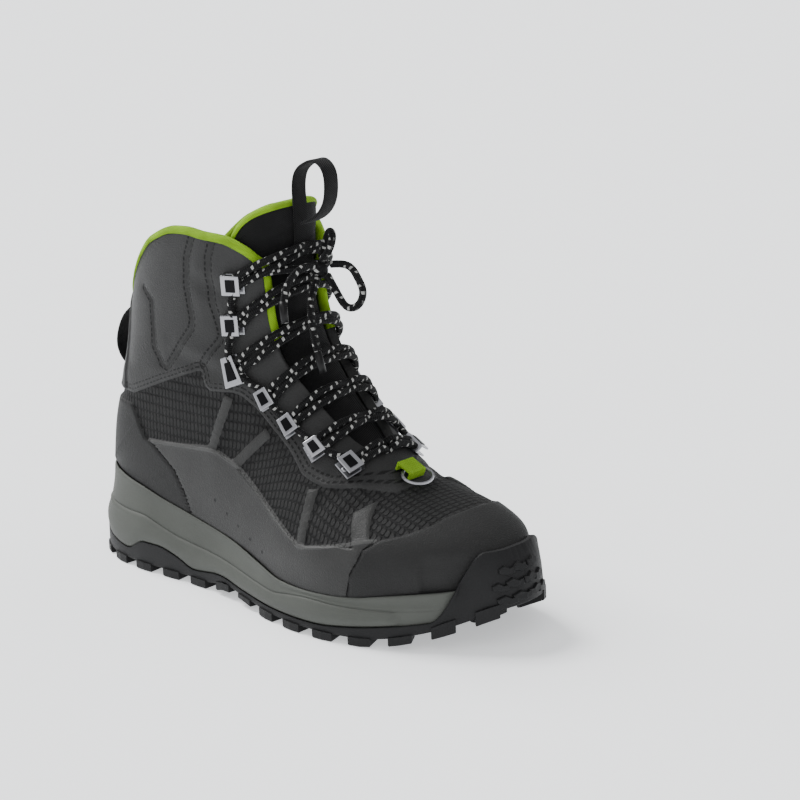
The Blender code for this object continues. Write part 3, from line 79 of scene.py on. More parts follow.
# lines along the boot: share of the way against the line's own unit
lines = {
    "rim": [(0.00, 1.00), (0.06, 0.985), (0.175, 0.86), (0.26, 0.66), (0.36, 0.45), (0.455, 0.30),
            (0.545, 0.135), (0.60, 0.02), (0.665, 0.00), (0.735, 0.02), (0.775, 0.055),
            (0.835, 0.155), (0.89, 0.23), (1.00, 0.34)],
    "parting": [(0.00, 4.10), (0.03, 3.90), (0.09, 2.80), (0.15, 2.30), (0.20, 4.00),
                (0.24, 4.00), (0.29, 3.10), (0.335, 1.90), (0.41, 2.50), (0.485, 1.90),
                (0.60, 1.60), (0.70, 1.65), (0.77, 2.15), (0.84, 2.90), (0.90, 3.70),
                (0.945, 4.80), (1.00, 6.40)],
    "lugLevel": [(0.00, 0.45), (0.05, 0.0), (0.37, 0.0), (0.43, 0.95), (0.49, 0.80), (0.56, 0.0),
                 (0.785, 0.0), (0.83, 0.40), (0.88, 1.25), (0.93, 2.50), (0.98, 4.20),
                 (1.00, 4.70)],
    "step": [(0.00, 0.60), (0.19, 0.60), (0.25, 0.515), (0.29, 0.455), (0.40, 0.385),
             (0.52, 0.320), (0.58, 0.300), (0.63, 0.345), (0.68, 0.375), (0.75, 0.365),
             (0.85, 0.380), (0.90, 0.400), (0.95, 0.460), (1.00, 0.565)],
    "edgeInset": [(0.0, 0.0660), (0.12, 0.0540), (0.35, 0.0440), (0.55, 0.0560), (0.80, 0.0760),
                  (1.0, 0.1020)],
    "lipThick": [(0.0, 0.0290), (0.09, 0.0280), (0.145, 0.0120), (1.0, 0.0100)],
    "throat": [(5.6, 0.0), (5.9, 0.085), (6.2, 0.115), (6.6, 0.135), (7.1, 0.152), (8.0, 0.180),
               (9.0, 0.212), (10.0, 0.216), (11.0, 0.212), (12.0, 0.216), (13.0, 0.240),
               (16.0, 0.280)],
    "collar": [(0.0, 12.30), (0.05, 13.50), (0.12, 14.40), (0.23, 14.95), (0.33, 15.30),
               (0.43, 15.43), (0.55, 15.35), (0.69, 14.98), (0.85, 14.4), (1.0, 14.1)],
    "tongueHalf": [(5.05, 0.150), (5.6, 0.195), (6.6, 0.235), (7.8, 0.250), (9.0, 0.262),
                   (10.2, 0.280), (11.2, 0.300), (12.2, 0.325), (13.1, 0.345), (14.0, 0.365),
                   (14.8, 0.385)],
}


def smoothLine(knots, values):
    # cubic through all the points, a function of the knot value
    k, v = np.asarray(knots, float), np.asarray(values, float)
    n, h = len(k), np.diff(k)
    a, b = np.eye(n), np.zeros((n,) + v.shape[1:])
    for i in range(1, n - 1):
        a[i, i - 1], a[i, i], a[i, i + 1] = h[i - 1], 2 * (h[i - 1] + h[i]), h[i]
        b[i] = 6 * ((v[i + 1] - v[i]) / h[i] - (v[i] - v[i - 1]) / h[i - 1])
    m = np.linalg.solve(a, b)

    def value(t):
        t = np.clip(np.asarray(t, float), k[0], k[-1])
        i = np.clip(np.searchsorted(k, t, side="right") - 1, 0, n - 2)
        step, lo, hi = h[i], (k[i + 1] - t) / h[i], (t - k[i]) / h[i]
        if v.ndim > 1:
            lo, hi, step = lo[..., None], hi[..., None], step[..., None]
        return lo * v[i] + hi * v[i + 1] + ((lo**3 - lo) * m[i] + (hi**3 - hi) * m[i + 1]) * step * step / 6

    return value


def steadyLine(pairs):
    # curve that never overshoots its points
    x, y = np.array([p[0] for p in pairs], float), np.array([p[1] for p in pairs], float)
    h = np.diff(x)
    d = np.diff(y) / h
    m = np.zeros(len(x))
    for i in range(1, len(x) - 1):
        if d[i - 1] * d[i] > 0:
            w1, w2 = 2 * h[i] + h[i - 1], h[i] + 2 * h[i - 1]
            m[i] = (w1 + w2) / (w1 / d[i - 1] + w2 / d[i])
    m[0], m[-1] = d[0], d[-1]

    def value(t):
        t = np.clip(np.asarray(t, float), x[0], x[-1])
        i = np.clip(np.searchsorted(x, t, side="right") - 1, 0, len(x) - 2)
        s = (t - x[i]) / h[i]
        return ((1 + 2 * s) * (1 - s) ** 2 * y[i] + s * (1 - s) ** 2 * h[i] * m[i]
                + s * s * (3 - 2 * s) * y[i + 1] + s * s * (s - 1) * h[i] * m[i + 1])

    return value


def travel(points):
    return np.r_[0, np.cumsum(np.linalg.norm(np.diff(points, axis=0), axis=1))]


def softStep(value, low, high):
    f = np.clip((value - low) / (high - low), 0, 1)
    return f * f * (3 - 2 * f)


line = {name: steadyLine(pairs) for name, pairs in lines.items()}
sectionAt = smoothLine(np.arange(len(sections)), sections)
edgeShare = steadyLine([(i, row[2]) for i, row in enumerate(sections[:12])])


def outlineSides():
    knots = np.array([(a * length, c * ballWidth) for a, c in outlinePoints])
    tripled = np.vstack([knots, knots, knots])
    d = travel(tripled)
    n = len(knots)
    loop = smoothLine(d, tripled)(np.linspace(d[n], d[2 * n], 1441))[:-1]
    way = np.roll(loop, -1, 0) - np.roll(loop, 1, 0)
    way /= np.linalg.norm(way, axis=1)[:, None]
    rows = np.c_[loop, way[:, 1], -way[:, 0]]
    rows = np.roll(rows, -int(rows[:, 0].argmin()), 0)
    tip = int(rows[:, 0].argmax())
    halves = {-1: rows[:tip + 1][::-1], 1: np.vstack([rows[tip:], rows[:1]])}
    return {side: (travel(half[:, :2]) / travel(half[:, :2])[-1], half) for side, half in halves.items()}


solePlan = outlineSides()


def outlinePoint(side, u, inset=0.0):
    s, half = solePlan[side]
    x, y, nx, ny = (np.interp(u, s, half[:, k]) for k in range(4))
    size = np.hypot(nx, ny)
    return np.array([x - nx / size * inset, y - ny / size * inset])


def rimZ(x):
    return boot["foreRim"] + (boot["heelRim"] - boot["foreRim"]) * line["rim"](x / length)


def lugZ(x):
    return boot["lugDepth"] * line["lugLevel"](x / length)


def partingZ(x):
    return boot["lugDepth"] * line["parting"](x / length)


def baseZ(x):
    return np.minimum(lugZ(x) + boot["lugDepth"], partingZ(x) - boot["floorRubber"])


def stepZ(x):
    return boot["heelRim"] * line["step"](x / length)


def edgePoint(side, u):
    x, y = outlinePoint(side, u, line["edgeInset"](u) * ballWidth)
    return np.array([x, y, rimZ(x) - boot["cupDepth"]])


def backSeam():
    first = edgePoint(-1, 1.0)
    first[1] = 0.0
    rows = [(r[3] * length, 0.0, r[4] * shaftHeight) for r in sections[12:]]
    points = [tuple(first + [0, 0, boot["fit"]])] + rows
    return smoothLine(np.arange(len(points)) + heelSeatRow, points)


seamAtBack = backSeam()


def sectionLine(t, side, count=40):
    # one half section of the upper's outside, crest to lower edge or back seam
    cx, cz, _, _, _, outer, inner, at, p, q, cy = sectionAt(t)
    crest = np.array([cx * length, cy * ballWidth, cz * shaftHeight])
    if t < heelSeatRow - 1e-5:
        foot = edgePoint(side, edgeShare(t)) + [0, 0, boot["fit"]]
    else:
        foot = seamAtBack(t)
    if t < 1e-5:
        crest = foot.copy()
    reach = max(side * (foot[1] - crest[1]), 0.0)
    width = max((outer if side < 0 else inner) * ballWidth, reach * 1.001, 1e-5)
    r = min(reach / width, 0.9999)
    a = np.linspace(0, math.pi / 2, count)
    down, out = [at * (1 - np.cos(a) ** (2 / p))], [width * np.sin(a) ** (2 / p)]
    last = math.acos(min(max(r ** (q / 2), 0.0), 1.0))
    a = np.linspace(0, last, count)[1:]
    down.append(at + (1 - at) / max(math.sin(last) ** (2 / q), 1e-5) * np.sin(a) ** (2 / q))
    out.append(width * np.cos(a) ** (2 / q))
    down, out = np.concatenate(down), np.concatenate(out)
    points = np.c_[crest[0] + (foot[0] - crest[0]) * down, crest[1] + side * out,
                   crest[2] + (foot[2] - crest[2]) * down]
    points[-1] = foot
    return points


class LastSide:
    # one side of the last as a fine grid that is read between its points
    def __init__(self, side):
        self.rows = np.linspace(0, 16, 321)
        self.shares = np.linspace(0, 1, 161)
        self.points = np.empty((321, 161, 3))
        self.girths = np.empty(321)
        for i, t in enumerate(self.rows):
            points = sectionLine(t, side)
            d = travel(points)
            self.girths[i] = d[-1]
            for k in range(3):
                self.points[i, :, k] = np.interp(self.shares * d[-1], d, points[:, k])
        across, lengthwise = np.gradient(self.points, axis=1), np.gradient(self.points, axis=0)
        normals = np.cross(across, lengthwise) * side
        sizes = np.linalg.norm(normals, axis=2)[..., None]
        self.normals = np.where(sizes > 1e-12, normals / np.maximum(sizes, 1e-12), [1.0, 0, 0])
        self.normals[:, 0, 1] = 0

    def read(self, grid, t, share):
        a = np.clip(np.asarray(t, float) / 0.05, 0, 319.999)
        b = np.clip(np.asarray(share, float) * 160, 0, 159.999)
        i, j = a.astype(int), b.astype(int)
        f, g = (a - i)[..., None], (b - j)[..., None]
        return ((grid[i, j] * (1 - f) + grid[i + 1, j] * f) * (1 - g)
                + (grid[i, j + 1] * (1 - f) + grid[i + 1, j + 1] * f) * g)

    def girth(self, t):
        return np.interp(t, self.rows, self.girths)

    def place(self, t, share, lift=0.0):
        normals = self.read(self.normals, t, share)
        normals = normals / np.linalg.norm(normals, axis=-1)[..., None]
        return self.read(self.points, t, share) + normals * np.asarray(lift)[..., None], normals


last = {side: LastSide(side) for side in (-1, 1)}
origin = np.array([boot["originShare"] * length, 0, 0])
print("last worked out")


# simple tools for meshes: everything is made in the last's frame and moved to the row's frame at the end
def makeMesh(name, verts, faces, look, smooth=True, uvs=None):
    mesh = bpy.data.meshes.new(name)
    mesh.from_pydata([tuple(map(float, p - origin)) for p in np.asarray(verts)], [], faces)
    mesh.materials.append(look)
    if uvs is not None:
        layer = mesh.uv_layers.new(name="plan")
        corners = np.array([loop.vertex_index for loop in mesh.loops])
        layer.data.foreach_set("uv", np.asarray(uvs, float)[corners].ravel())
    mesh.validate()
    mesh.update()
    if smooth:
        mesh.shade_smooth()
    piece = bpy.data.objects.new(name, mesh)
    bpy.context.scene.collection.objects.link(piece)
    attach(piece, "root")
    return piece


def stripFaces(a, b, closed=False):
    n = len(a)
    return [(a[i], a[(i + 1) % n], b[(i + 1) % n], b[i]) for i in range(n if closed else n - 1)]


def faceOut(piece):
    work = bmesh.new()
    work.from_mesh(piece.data)
    bmesh.ops.remove_doubles(work, verts=work.verts, dist=0.00001)
    bmesh.ops.recalc_face_normals(work, faces=work.faces)
    work.to_mesh(piece.data)
    work.free()
    return piece


def bevelEdges(piece, width, segments=2, angle=40):
    modifier = piece.modifiers.new("edges", "BEVEL")
    modifier.width, modifier.segments = width, segments
    modifier.limit_method, modifier.angle_limit = "ANGLE", math.radians(angle)
    return piece


def sweep(name, points, radius, look, sides=10, squash=1.0):
    # tube whose uv map is in metres along it and round it
    points = np.asarray(points, float)
    way = np.gradient(points, axis=0)
    way /= np.linalg.norm(way, axis=1)[:, None]
    normal = np.cross(way[0], [0.3, 1.0, 0.2])
    normal /= np.linalg.norm(normal)
    d = travel(points)
    verts, uvs, rings, faces = [], [], [], []
    for p, w, far in zip(points, way, d):
        normal = normal - w * (normal @ w)
        normal /= np.linalg.norm(normal)
        other = np.cross(w, normal)
        rings.append(list(range(len(verts), len(verts) + sides)))
        for k in range(sides):
            a = 2 * math.pi * k / sides
            verts.append(p + (normal * math.cos(a) + other * math.sin(a) * squash) * radius)
            uvs.append((far, k / sides))
    for a, b in zip(rings, rings[1:]):
        faces += stripFaces(a, b, closed=True)
    faces += [tuple(rings[0][::-1]), tuple(rings[-1])]
    return makeMesh(name, verts, faces, look, uvs=uvs)


# node tools for materials
class Look:
    def __init__(self, name, colour, rough, **values):
        self.material = bpy.data.materials.new(name)
        self.material.use_nodes = True
        self.tree = self.material.node_tree
        self.shader = self.tree.nodes["Principled BSDF"]
        self.shader.inputs["Base Color"].default_value = (*colour, 1)
        self.shader.inputs["Roughness"].default_value = rough
        for socket, value in values.items():
            self.shader.inputs[socket.replace("_", " ")].default_value = value

    def node(self, kind, **settings):
        made = self.tree.nodes.new(kind)
        for name, value in settings.items():
            setattr(made, name, value)
        return made

    def feed(self, socket, value):
        if isinstance(value, bpy.types.NodeSocket):
            self.tree.links.new(value, socket)
        else:
            socket.default_value = value

    def math(self, operation, a, b=None, clamp=False):
        made = self.node("ShaderNodeMath", operation=operation, use_clamp=clamp)
        self.feed(made.inputs[0], a)
        if b is not None:
            self.feed(made.inputs[1], b)
        return made.outputs[0]

    def field(self, name):
        return self.node("ShaderNodeAttribute", attribute_name=name).outputs["Fac"]

    def ramp(self, value, low, high):
        # 0 below low, 1 above high, also the other way round
        made = self.node("ShaderNodeMapRange", interpolation_type="SMOOTHSTEP")
        made.inputs["From Min"].default_value, made.inputs["From Max"].default_value = low, high
        self.feed(made.inputs["Value"], value)
        return made.outputs["Result"]

    def blend(self, amount, a, b):
        made = self.node("ShaderNodeMix", data_type="RGBA")
        self.feed(made.inputs["Factor"], amount)
        self.feed(made.inputs["A"], a if isinstance(a, bpy.types.NodeSocket) else (*a, 1))
        self.feed(made.inputs["B"], b if isinstance(b, bpy.types.NodeSocket) else (*b, 1))
        return made.outputs["Result"]

    def mix(self, amount, a, b):
        made = self.node("ShaderNodeMix", data_type="FLOAT")
        self.feed(made.inputs["Factor"], amount)
        self.feed(made.inputs["A"], a)
        self.feed(made.inputs["B"], b)
        return made.outputs["Result"]

    def noise(self, scale, detail=3.0, rough=0.55):
        made = self.node("ShaderNodeTexNoise")
        made.inputs["Scale"].default_value, made.inputs["Detail"].default_value = scale, detail
        made.inputs["Roughness"].default_value = rough
        self.tree.links.new(self.place(), made.inputs["Vector"])
        return made.outputs["Fac"]

    def cells(self, scale):
        made = self.node("ShaderNodeTexVoronoi")
        made.inputs["Scale"].default_value = scale
        self.tree.links.new(self.place(), made.inputs["Vector"])
        return made.outputs["Distance"]

    def place(self):
        return self.node("ShaderNodeTexCoord").outputs["Object"]

    def plan(self):
        split = self.node("ShaderNodeSeparateXYZ")
        self.tree.links.new(self.node("ShaderNodeUVMap", uv_map="plan").outputs["UV"], split.inputs[0])
        return split.outputs["X"], split.outputs["Y"]

    def bump(self, height, depth, normal=None):
        # depth in metres that one unit of height stands for
        made = self.node("ShaderNodeBump")
        made.inputs["Strength"].default_value = 1.0
        made.inputs["Distance"].default_value = depth
        self.feed(made.inputs["Height"], height)
        if normal is not None:
            self.tree.links.new(normal, made.inputs["Normal"])
        return made.outputs["Normal"]

    def finish(self, colour=None, rough=None, normal=None):
        for socket, value in (("Base Color", colour), ("Roughness", rough), ("Normal", normal)):
            if value is not None:
                self.tree.links.new(value, self.shader.inputs[socket])
        return self.material


# side-view lines on the upper: share of length, share of shaft height
panels = {
    "toeCap": [(0.890, 0.360), (0.868, 0.305), (0.8365, 0.284), (0.8075, 0.273), (0.7840, 0.247),
               (0.7790, 0.219), (0.7680, 0.187), (0.7540, 0.090)],
    "counter": [(-0.050, 0.469), (0.168, 0.469), (0.2076, 0.378), (0.228, 0.369), (0.2833, 0.310),
                (0.3057, 0.253), (0.3400, 0.090)],
    "piping": [(0.2160, 0.378), (0.3849, 0.395), (0.4053, 0.394), (0.4230, 0.385),
               (0.4541, 0.369), (0.5475, 0.292), (0.6286, 0.236), (0.6494, 0.225),
               (0.6648, 0.225), (0.7296, 0.245), (0.7980, 0.2690)],
    "shaft": [(-0.050, 0.500), (0.1767, 0.500), (0.2654, 0.554), (0.3585, 0.606), (0.3660, 0.605),
              (0.3780, 0.569), (0.3874, 0.557), (0.4368, 0.561), (0.4557, 0.556), (0.4852, 0.530),
              (0.5248, 0.481), (0.5689, 0.435), (0.6097, 0.385), (0.6368, 0.371), (0.6610, 0.361),
              (0.7101, 0.362), (0.7640, 0.350), (0.7800, 0.420)],
    "ribs": [(0.3893, 0.400, 0.4290, 0.549, 0.020), (0.4509, 0.373, 0.5180, 0.470, 0.020),
             (0.6541, 0.228, 0.6440, 0.357, 0.020), (0.7760, 0.259, 0.7440, 0.330, 0.028)],
    "backSeam": [(0.3720, 0.975), (0.3547, 0.918), (0.3472, 0.838), (0.3544, 0.745),
                 (0.3503, 0.723), (0.2874, 0.610), (0.2789, 0.602), (0.2657, 0.608),
                 (0.2513, 0.651), (0.2487, 0.723), (0.2503, 0.780), (0.2280, 0.807)],
    "bandSeam": [(0.4160, 0.973), (0.4035, 0.925), (0.4006, 0.870), (0.4025, 0.800),
                 (0.4142, 0.716), (0.4094, 0.696), (0.3686, 0.627)],
    "heelTab": [(-0.05, 0.500), (0.155, 0.500), (0.160, 0.740), (0.140, 0.790), (-0.05, 0.800)],
    "holes": [(0.3969, 0.2586), (0.4318, 0.2324), (0.4657, 0.2100), (0.5050, 0.1895),
              (0.5459, 0.1705)],
}
# creases: two ends as share of length and shaft height, half width and depth in metres
creases = [
    (0.300, 0.640, 0.440, 0.600, 0.0050, 0.0009), (0.310, 0.560, 0.400, 0.530, 0.0045, 0.0006),
    (0.170, 0.560, 0.300, 0.640, 0.0060, 0.0007), (0.640, 0.300, 0.700, 0.350, 0.0050, 0.0006),
    (0.710, 0.290, 0.740, 0.350, 0.0045, 0.0005), (0.360, 0.860, 0.430, 0.830, 0.0050, 0.0006),
]


def toMetres(points):
    return np.array([(x * length, z * shaftHeight) for x, z in points])


def lineDistance(where, points):
    # distance of each place to a line, and how far along the line its nearest point is
    best, along = np.full(len(where), 1e3), np.zeros(len(where))
    far = travel(points)
    for a, b, start in zip(points, points[1:], far):
        way = b - a
        f = np.clip(((where - a) @ way) / (way @ way), 0, 1)
        d = np.linalg.norm(where - a - f[:, None] * way, axis=1)
        closer = d < best
        best[closer] = d[closer]
        along[closer] = (start + f * np.linalg.norm(way))[closer]
    return best, along


def insideDistance(where, points):
    # positive inside a closed outline
    loop = np.vstack([points, points[:1]])
    d, _ = lineDistance(where, loop)
    inside = np.zeros(len(where), bool)
    for (ax, az), (bx, bz) in zip(loop, loop[1:]):
        if az == bz:
            continue
        cross = (where[:, 1] < az) != (where[:, 1] < bz)
        inside ^= cross & (where[:, 0] < ax + (where[:, 1] - az) / (bz - az) * (bx - ax))
    return np.where(inside, d, -d)


def panelOutlines():
    cage = list(panels["piping"])
    gap = 0.0018
    for footX, footZ, topX, topZ, width in panels["ribs"]:
        run, rise = (topX - footX) * length, (topZ - footZ) * shaftHeight
        size = math.hypot(run, rise)
        dx, dz = -rise / size * width / 2, run / size * width / 2 * length / shaftHeight
        cage = [p for p in cage if abs(p[0] - footX) > width * 0.7 or p[1] > 0.41]
        at = max(i for i, p in enumerate(cage) if p[0] < footX) + 1
        cage[at:at] = [(footX + dx, footZ + dz), (topX + dx, topZ + dz), (topX - dx, topZ - dz),
                       (footX - dx, footZ - dz)]
    front = [(x - gap, z) for x, z in panels["toeCap"] if z < 0.269]
    rear = [(x + gap, z) for x, z in panels["counter"] if z < 0.378]
    return {
        "toeCap": toMetres(panels["toeCap"] + [(1.05, 0.05), (1.05, 0.40)]),
        "counter": toMetres(panels["counter"] + [(-0.05, 0.09)]),
        "side": toMetres(cage + front + rear[::-1]),
        "shaft": toMetres(panels["shaft"] + [(0.95, 1.30), (-0.05, 1.30)]),
        "heelTab": toMetres(panels["heelTab"]),
    }


def upperFields(points):
    # everything that the upper's shape and material read at a place, worked out in side view
    where = points[:, [0, 2]]
    shapes = panelOutlines()
    fields = {name: insideDistance(where, outline) for name, outline in shapes.items()}
    fields["piping"], _ = lineDistance(where, toMetres(panels["piping"]))
    back, alongBack = lineDistance(where, toMetres(panels["backSeam"]))
    band, alongBand = lineDistance(where, toMetres(panels["bandSeam"]))
    shaft, alongShaft = lineDistance(where, toMetres(panels["shaft"]))
    fields["seam"] = np.minimum(back, band)
    fields["seamAlong"] = np.where(back < band, alongBack, alongBand)
    fields["hem"], fields["hemAlong"] = shaft, alongShaft
    return fields


def upperLift(fields, where):
    step = boot["fit"] + boot["overlay"]
    lift = np.zeros(len(where))
    for name in ("toeCap", "counter", "side", "shaft"):
        lift = np.maximum(lift, step * softStep(fields[name], *upperMesh["panelStep"]))
    lift += 0.0011 * softStep(fields["heelTab"], -0.0004, 0.0011)
    lift += 0.0006 * np.exp(-((fields["piping"] - 0.0006) / 0.0009) ** 2)
    seamEdge = np.minimum(fields["seam"], np.maximum(fields["shaft"], 0.0))
    padding = softStep(fields["shaft"], 0.0, 0.012) * (1 - np.exp(-seamEdge / 0.0055))
    lift += 0.0011 * padding - 0.0007 * np.exp(-(fields["seam"] / 0.0013) ** 2) * (fields["shaft"] > 0)
    for ax, az, bx, bz, width, depth in creases:
        d, along = lineDistance(where, toMetres([(ax, az), (bx, bz)]))
        span = math.hypot((bx - ax) * length, (bz - az) * shaftHeight)
        fade = np.sin(np.clip(along / span, 0, 1) * math.pi) ** 0.5
        lift += depth * fade * (0.7 * np.exp(-((d - 1.6 * width) / width) ** 2) - np.exp(-(d / width) ** 2))
    return lift


def upperRows(rowCount, shaftCount, columnCount):
    shares = np.linspace(0, 1, columnCount + 1)
    foot = np.r_[np.linspace(0, 0.9, 10)[:-1], np.linspace(0.9, heelSeatRow, rowCount)]
    rows = [np.full(columnCount + 1, t) for t in foot]
    collar = line["collar"](shares)
    for v in np.linspace(0, 1, shaftCount + 1)[1:]:
        rows.append(heelSeatRow + (collar - heelSeatRow) * v)
    return np.array(rows), shares, len(foot) - 1


# panelStep: where an overlay's edge starts and ends to rise; bumperHide: where the toe cap goes down inside
upperMesh = {
    "rows": 190, "shaftRows": 84, "columns": 136, "liningStep": 4, "panelStep": (-0.0005, 0.0010),
    "tuck": (-0.0030, 0.0006), "bumperHide": (0.045, 0.0545), "bumperRow": 3.2, "toThroatRows": (5.5, 8.0),
    "planTop": 0.110,
}


def upperSide(side, rows, shares):
    # outside and inside points of one side, and the fields its material reads
    surface = last[side]
    edge = np.where(rows > throatRow + 1e-5, line["throat"](rows) * ballWidth / surface.girth(rows), 0.0)
    share = edge + (1 - edge) * shares[None, :]
    points, normals = surface.place(rows, share)
    fields = upperFields(points.reshape(-1, 3))
    level = ((np.arange(len(shares)) > 0.93 * len(shares))[None, :] & (rows < 12.0)) | (rows < 0.7)
    normals = np.where(level[..., None], normals * [1, 1, 0], normals)
    normals[:, -1, 1] = np.where(rows[:, -1] >= heelSeatRow, 0.0, normals[:, -1, 1])
    normals[:, 0, 1] = np.where(rows[:, 0] <= throatRow + 1e-5, 0.0, normals[:, 0, 1])
    normals = normals / np.maximum(np.linalg.norm(normals, axis=-1)[..., None], 1e-9)
    lift = upperLift(fields, points.reshape(-1, 3)[:, [0, 2]]).reshape(rows.shape)
    above = points[..., 2] - rimZ(points[..., 0])
    tuck = softStep(above, *upperMesh["tuck"])  # nothing stands proud down inside the midsole's rim
    hide = softStep(points[..., 2], *upperMesh["bumperHide"])
    lift = lift * tuck * np.where(rows < upperMesh["bumperRow"], hide, 1.0)
    around = share * surface.girth(rows)
    turn = softStep(rows, *upperMesh["toThroatRows"])
    down = (1 - turn) * around + turn * (upperMesh["planTop"] - points[..., 2])
    plan = np.stack([points[..., 0], down], -1)
    return points + normals * lift[..., None], points - normals * boot["wall"], plan, fields


def gridFaces(number):
    faces = []
    for a, b in zip(number, number[1:]):
        faces += stripFaces(list(a), list(b))
    return faces


def buildUpper(look, liningLook):
    rows, shares, seat = upperRows(upperMesh["rows"], upperMesh["shaftRows"], upperMesh["columns"])
    number = np.arange(rows.size).reshape(rows.shape)
    throat = int(np.argmax(rows[:, 0] > throatRow + 1e-5)) - 1
    borders = [number[throat:, 0], number[:seat + 1, -1], number[-1]]
    verts, faces, uvs, allFields, linings = [], [], [], [], []
    for side in (-1, 1):
        outside, inside, plan, fields = upperSide(side, rows, shares)
        start = len(verts)
        verts.extend(outside.reshape(-1, 3))
        uvs.extend(plan.reshape(-1, 2))
        faces += gridFaces(number + start)
        picks = [np.arange(rows.size)]
        for border in borders:  # the cut edge of the wall
            first = len(verts)
            verts.extend(inside.reshape(-1, 3)[border])
            uvs.extend(plan.reshape(-1, 2)[border])
            faces += stripFaces(list(border + start), list(range(first, first + len(border))))
            picks.append(border)
        allFields.append({name: values[np.concatenate(picks)] for name, values in fields.items()})
        linings.append(inside)
    piece = makeMesh("upperSkin", verts, faces, look, uvs=uvs)
    for name in allFields[0]:
        values = np.concatenate([part[name] for part in allFields]).astype(np.float32)
        piece.data.attributes.new(name, "FLOAT", "POINT").data.foreach_set("value", values)
    faceOut(piece)
    step = upperMesh["liningStep"]
    keptRows = sorted(set(range(0, len(rows), step)) | {len(rows) - 1, throat, seat})
    verts, faces = [], []
    for inside in linings:
        picked = inside[keptRows][:, ::step]
        count = np.arange(picked.shape[0] * picked.shape[1]).reshape(picked.shape[:2]) + len(verts)
        verts.extend(picked.reshape(-1, 3))
        faces += gridFaces(count)
    lining = faceOut(makeMesh("upperLining", verts, faces, liningLook))
    for made in (piece, lining):
        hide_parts("upper")
    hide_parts("toe_cap", "heel_counter", "side_panel_outer", "side_panel_inner", "shaft_panel",
                "heel_tab")
    return piece


upperLook = {
    "mesh": (0.0045, 0.0045, 0.0047), "meshRaised": (0.016, 0.016, 0.016), "side": (0.028, 0.028, 0.0275),
    "shaft": (0.023, 0.023, 0.023), "rubber": (0.0130, 0.0130, 0.0130), "piping": (0.055, 0.055, 0.054),
    "thread": (0.0035, 0.0035, 0.0035), "lining": (0.012, 0.012, 0.012), "tab": (0.008, 0.008, 0.008),
    "cellWide": 0.0030, "cellTall": 0.0054, "stitchLong": 0.0034, "holeSize": 0.0011,
    # line that a row of thread follows, how it is measured along, and how far off the line it lies
    "threadRows": [("seam", "seamAlong", 0.0021), ("hem", "hemAlong", 0.0022), ("hem", "hemAlong", 0.0046)],
}


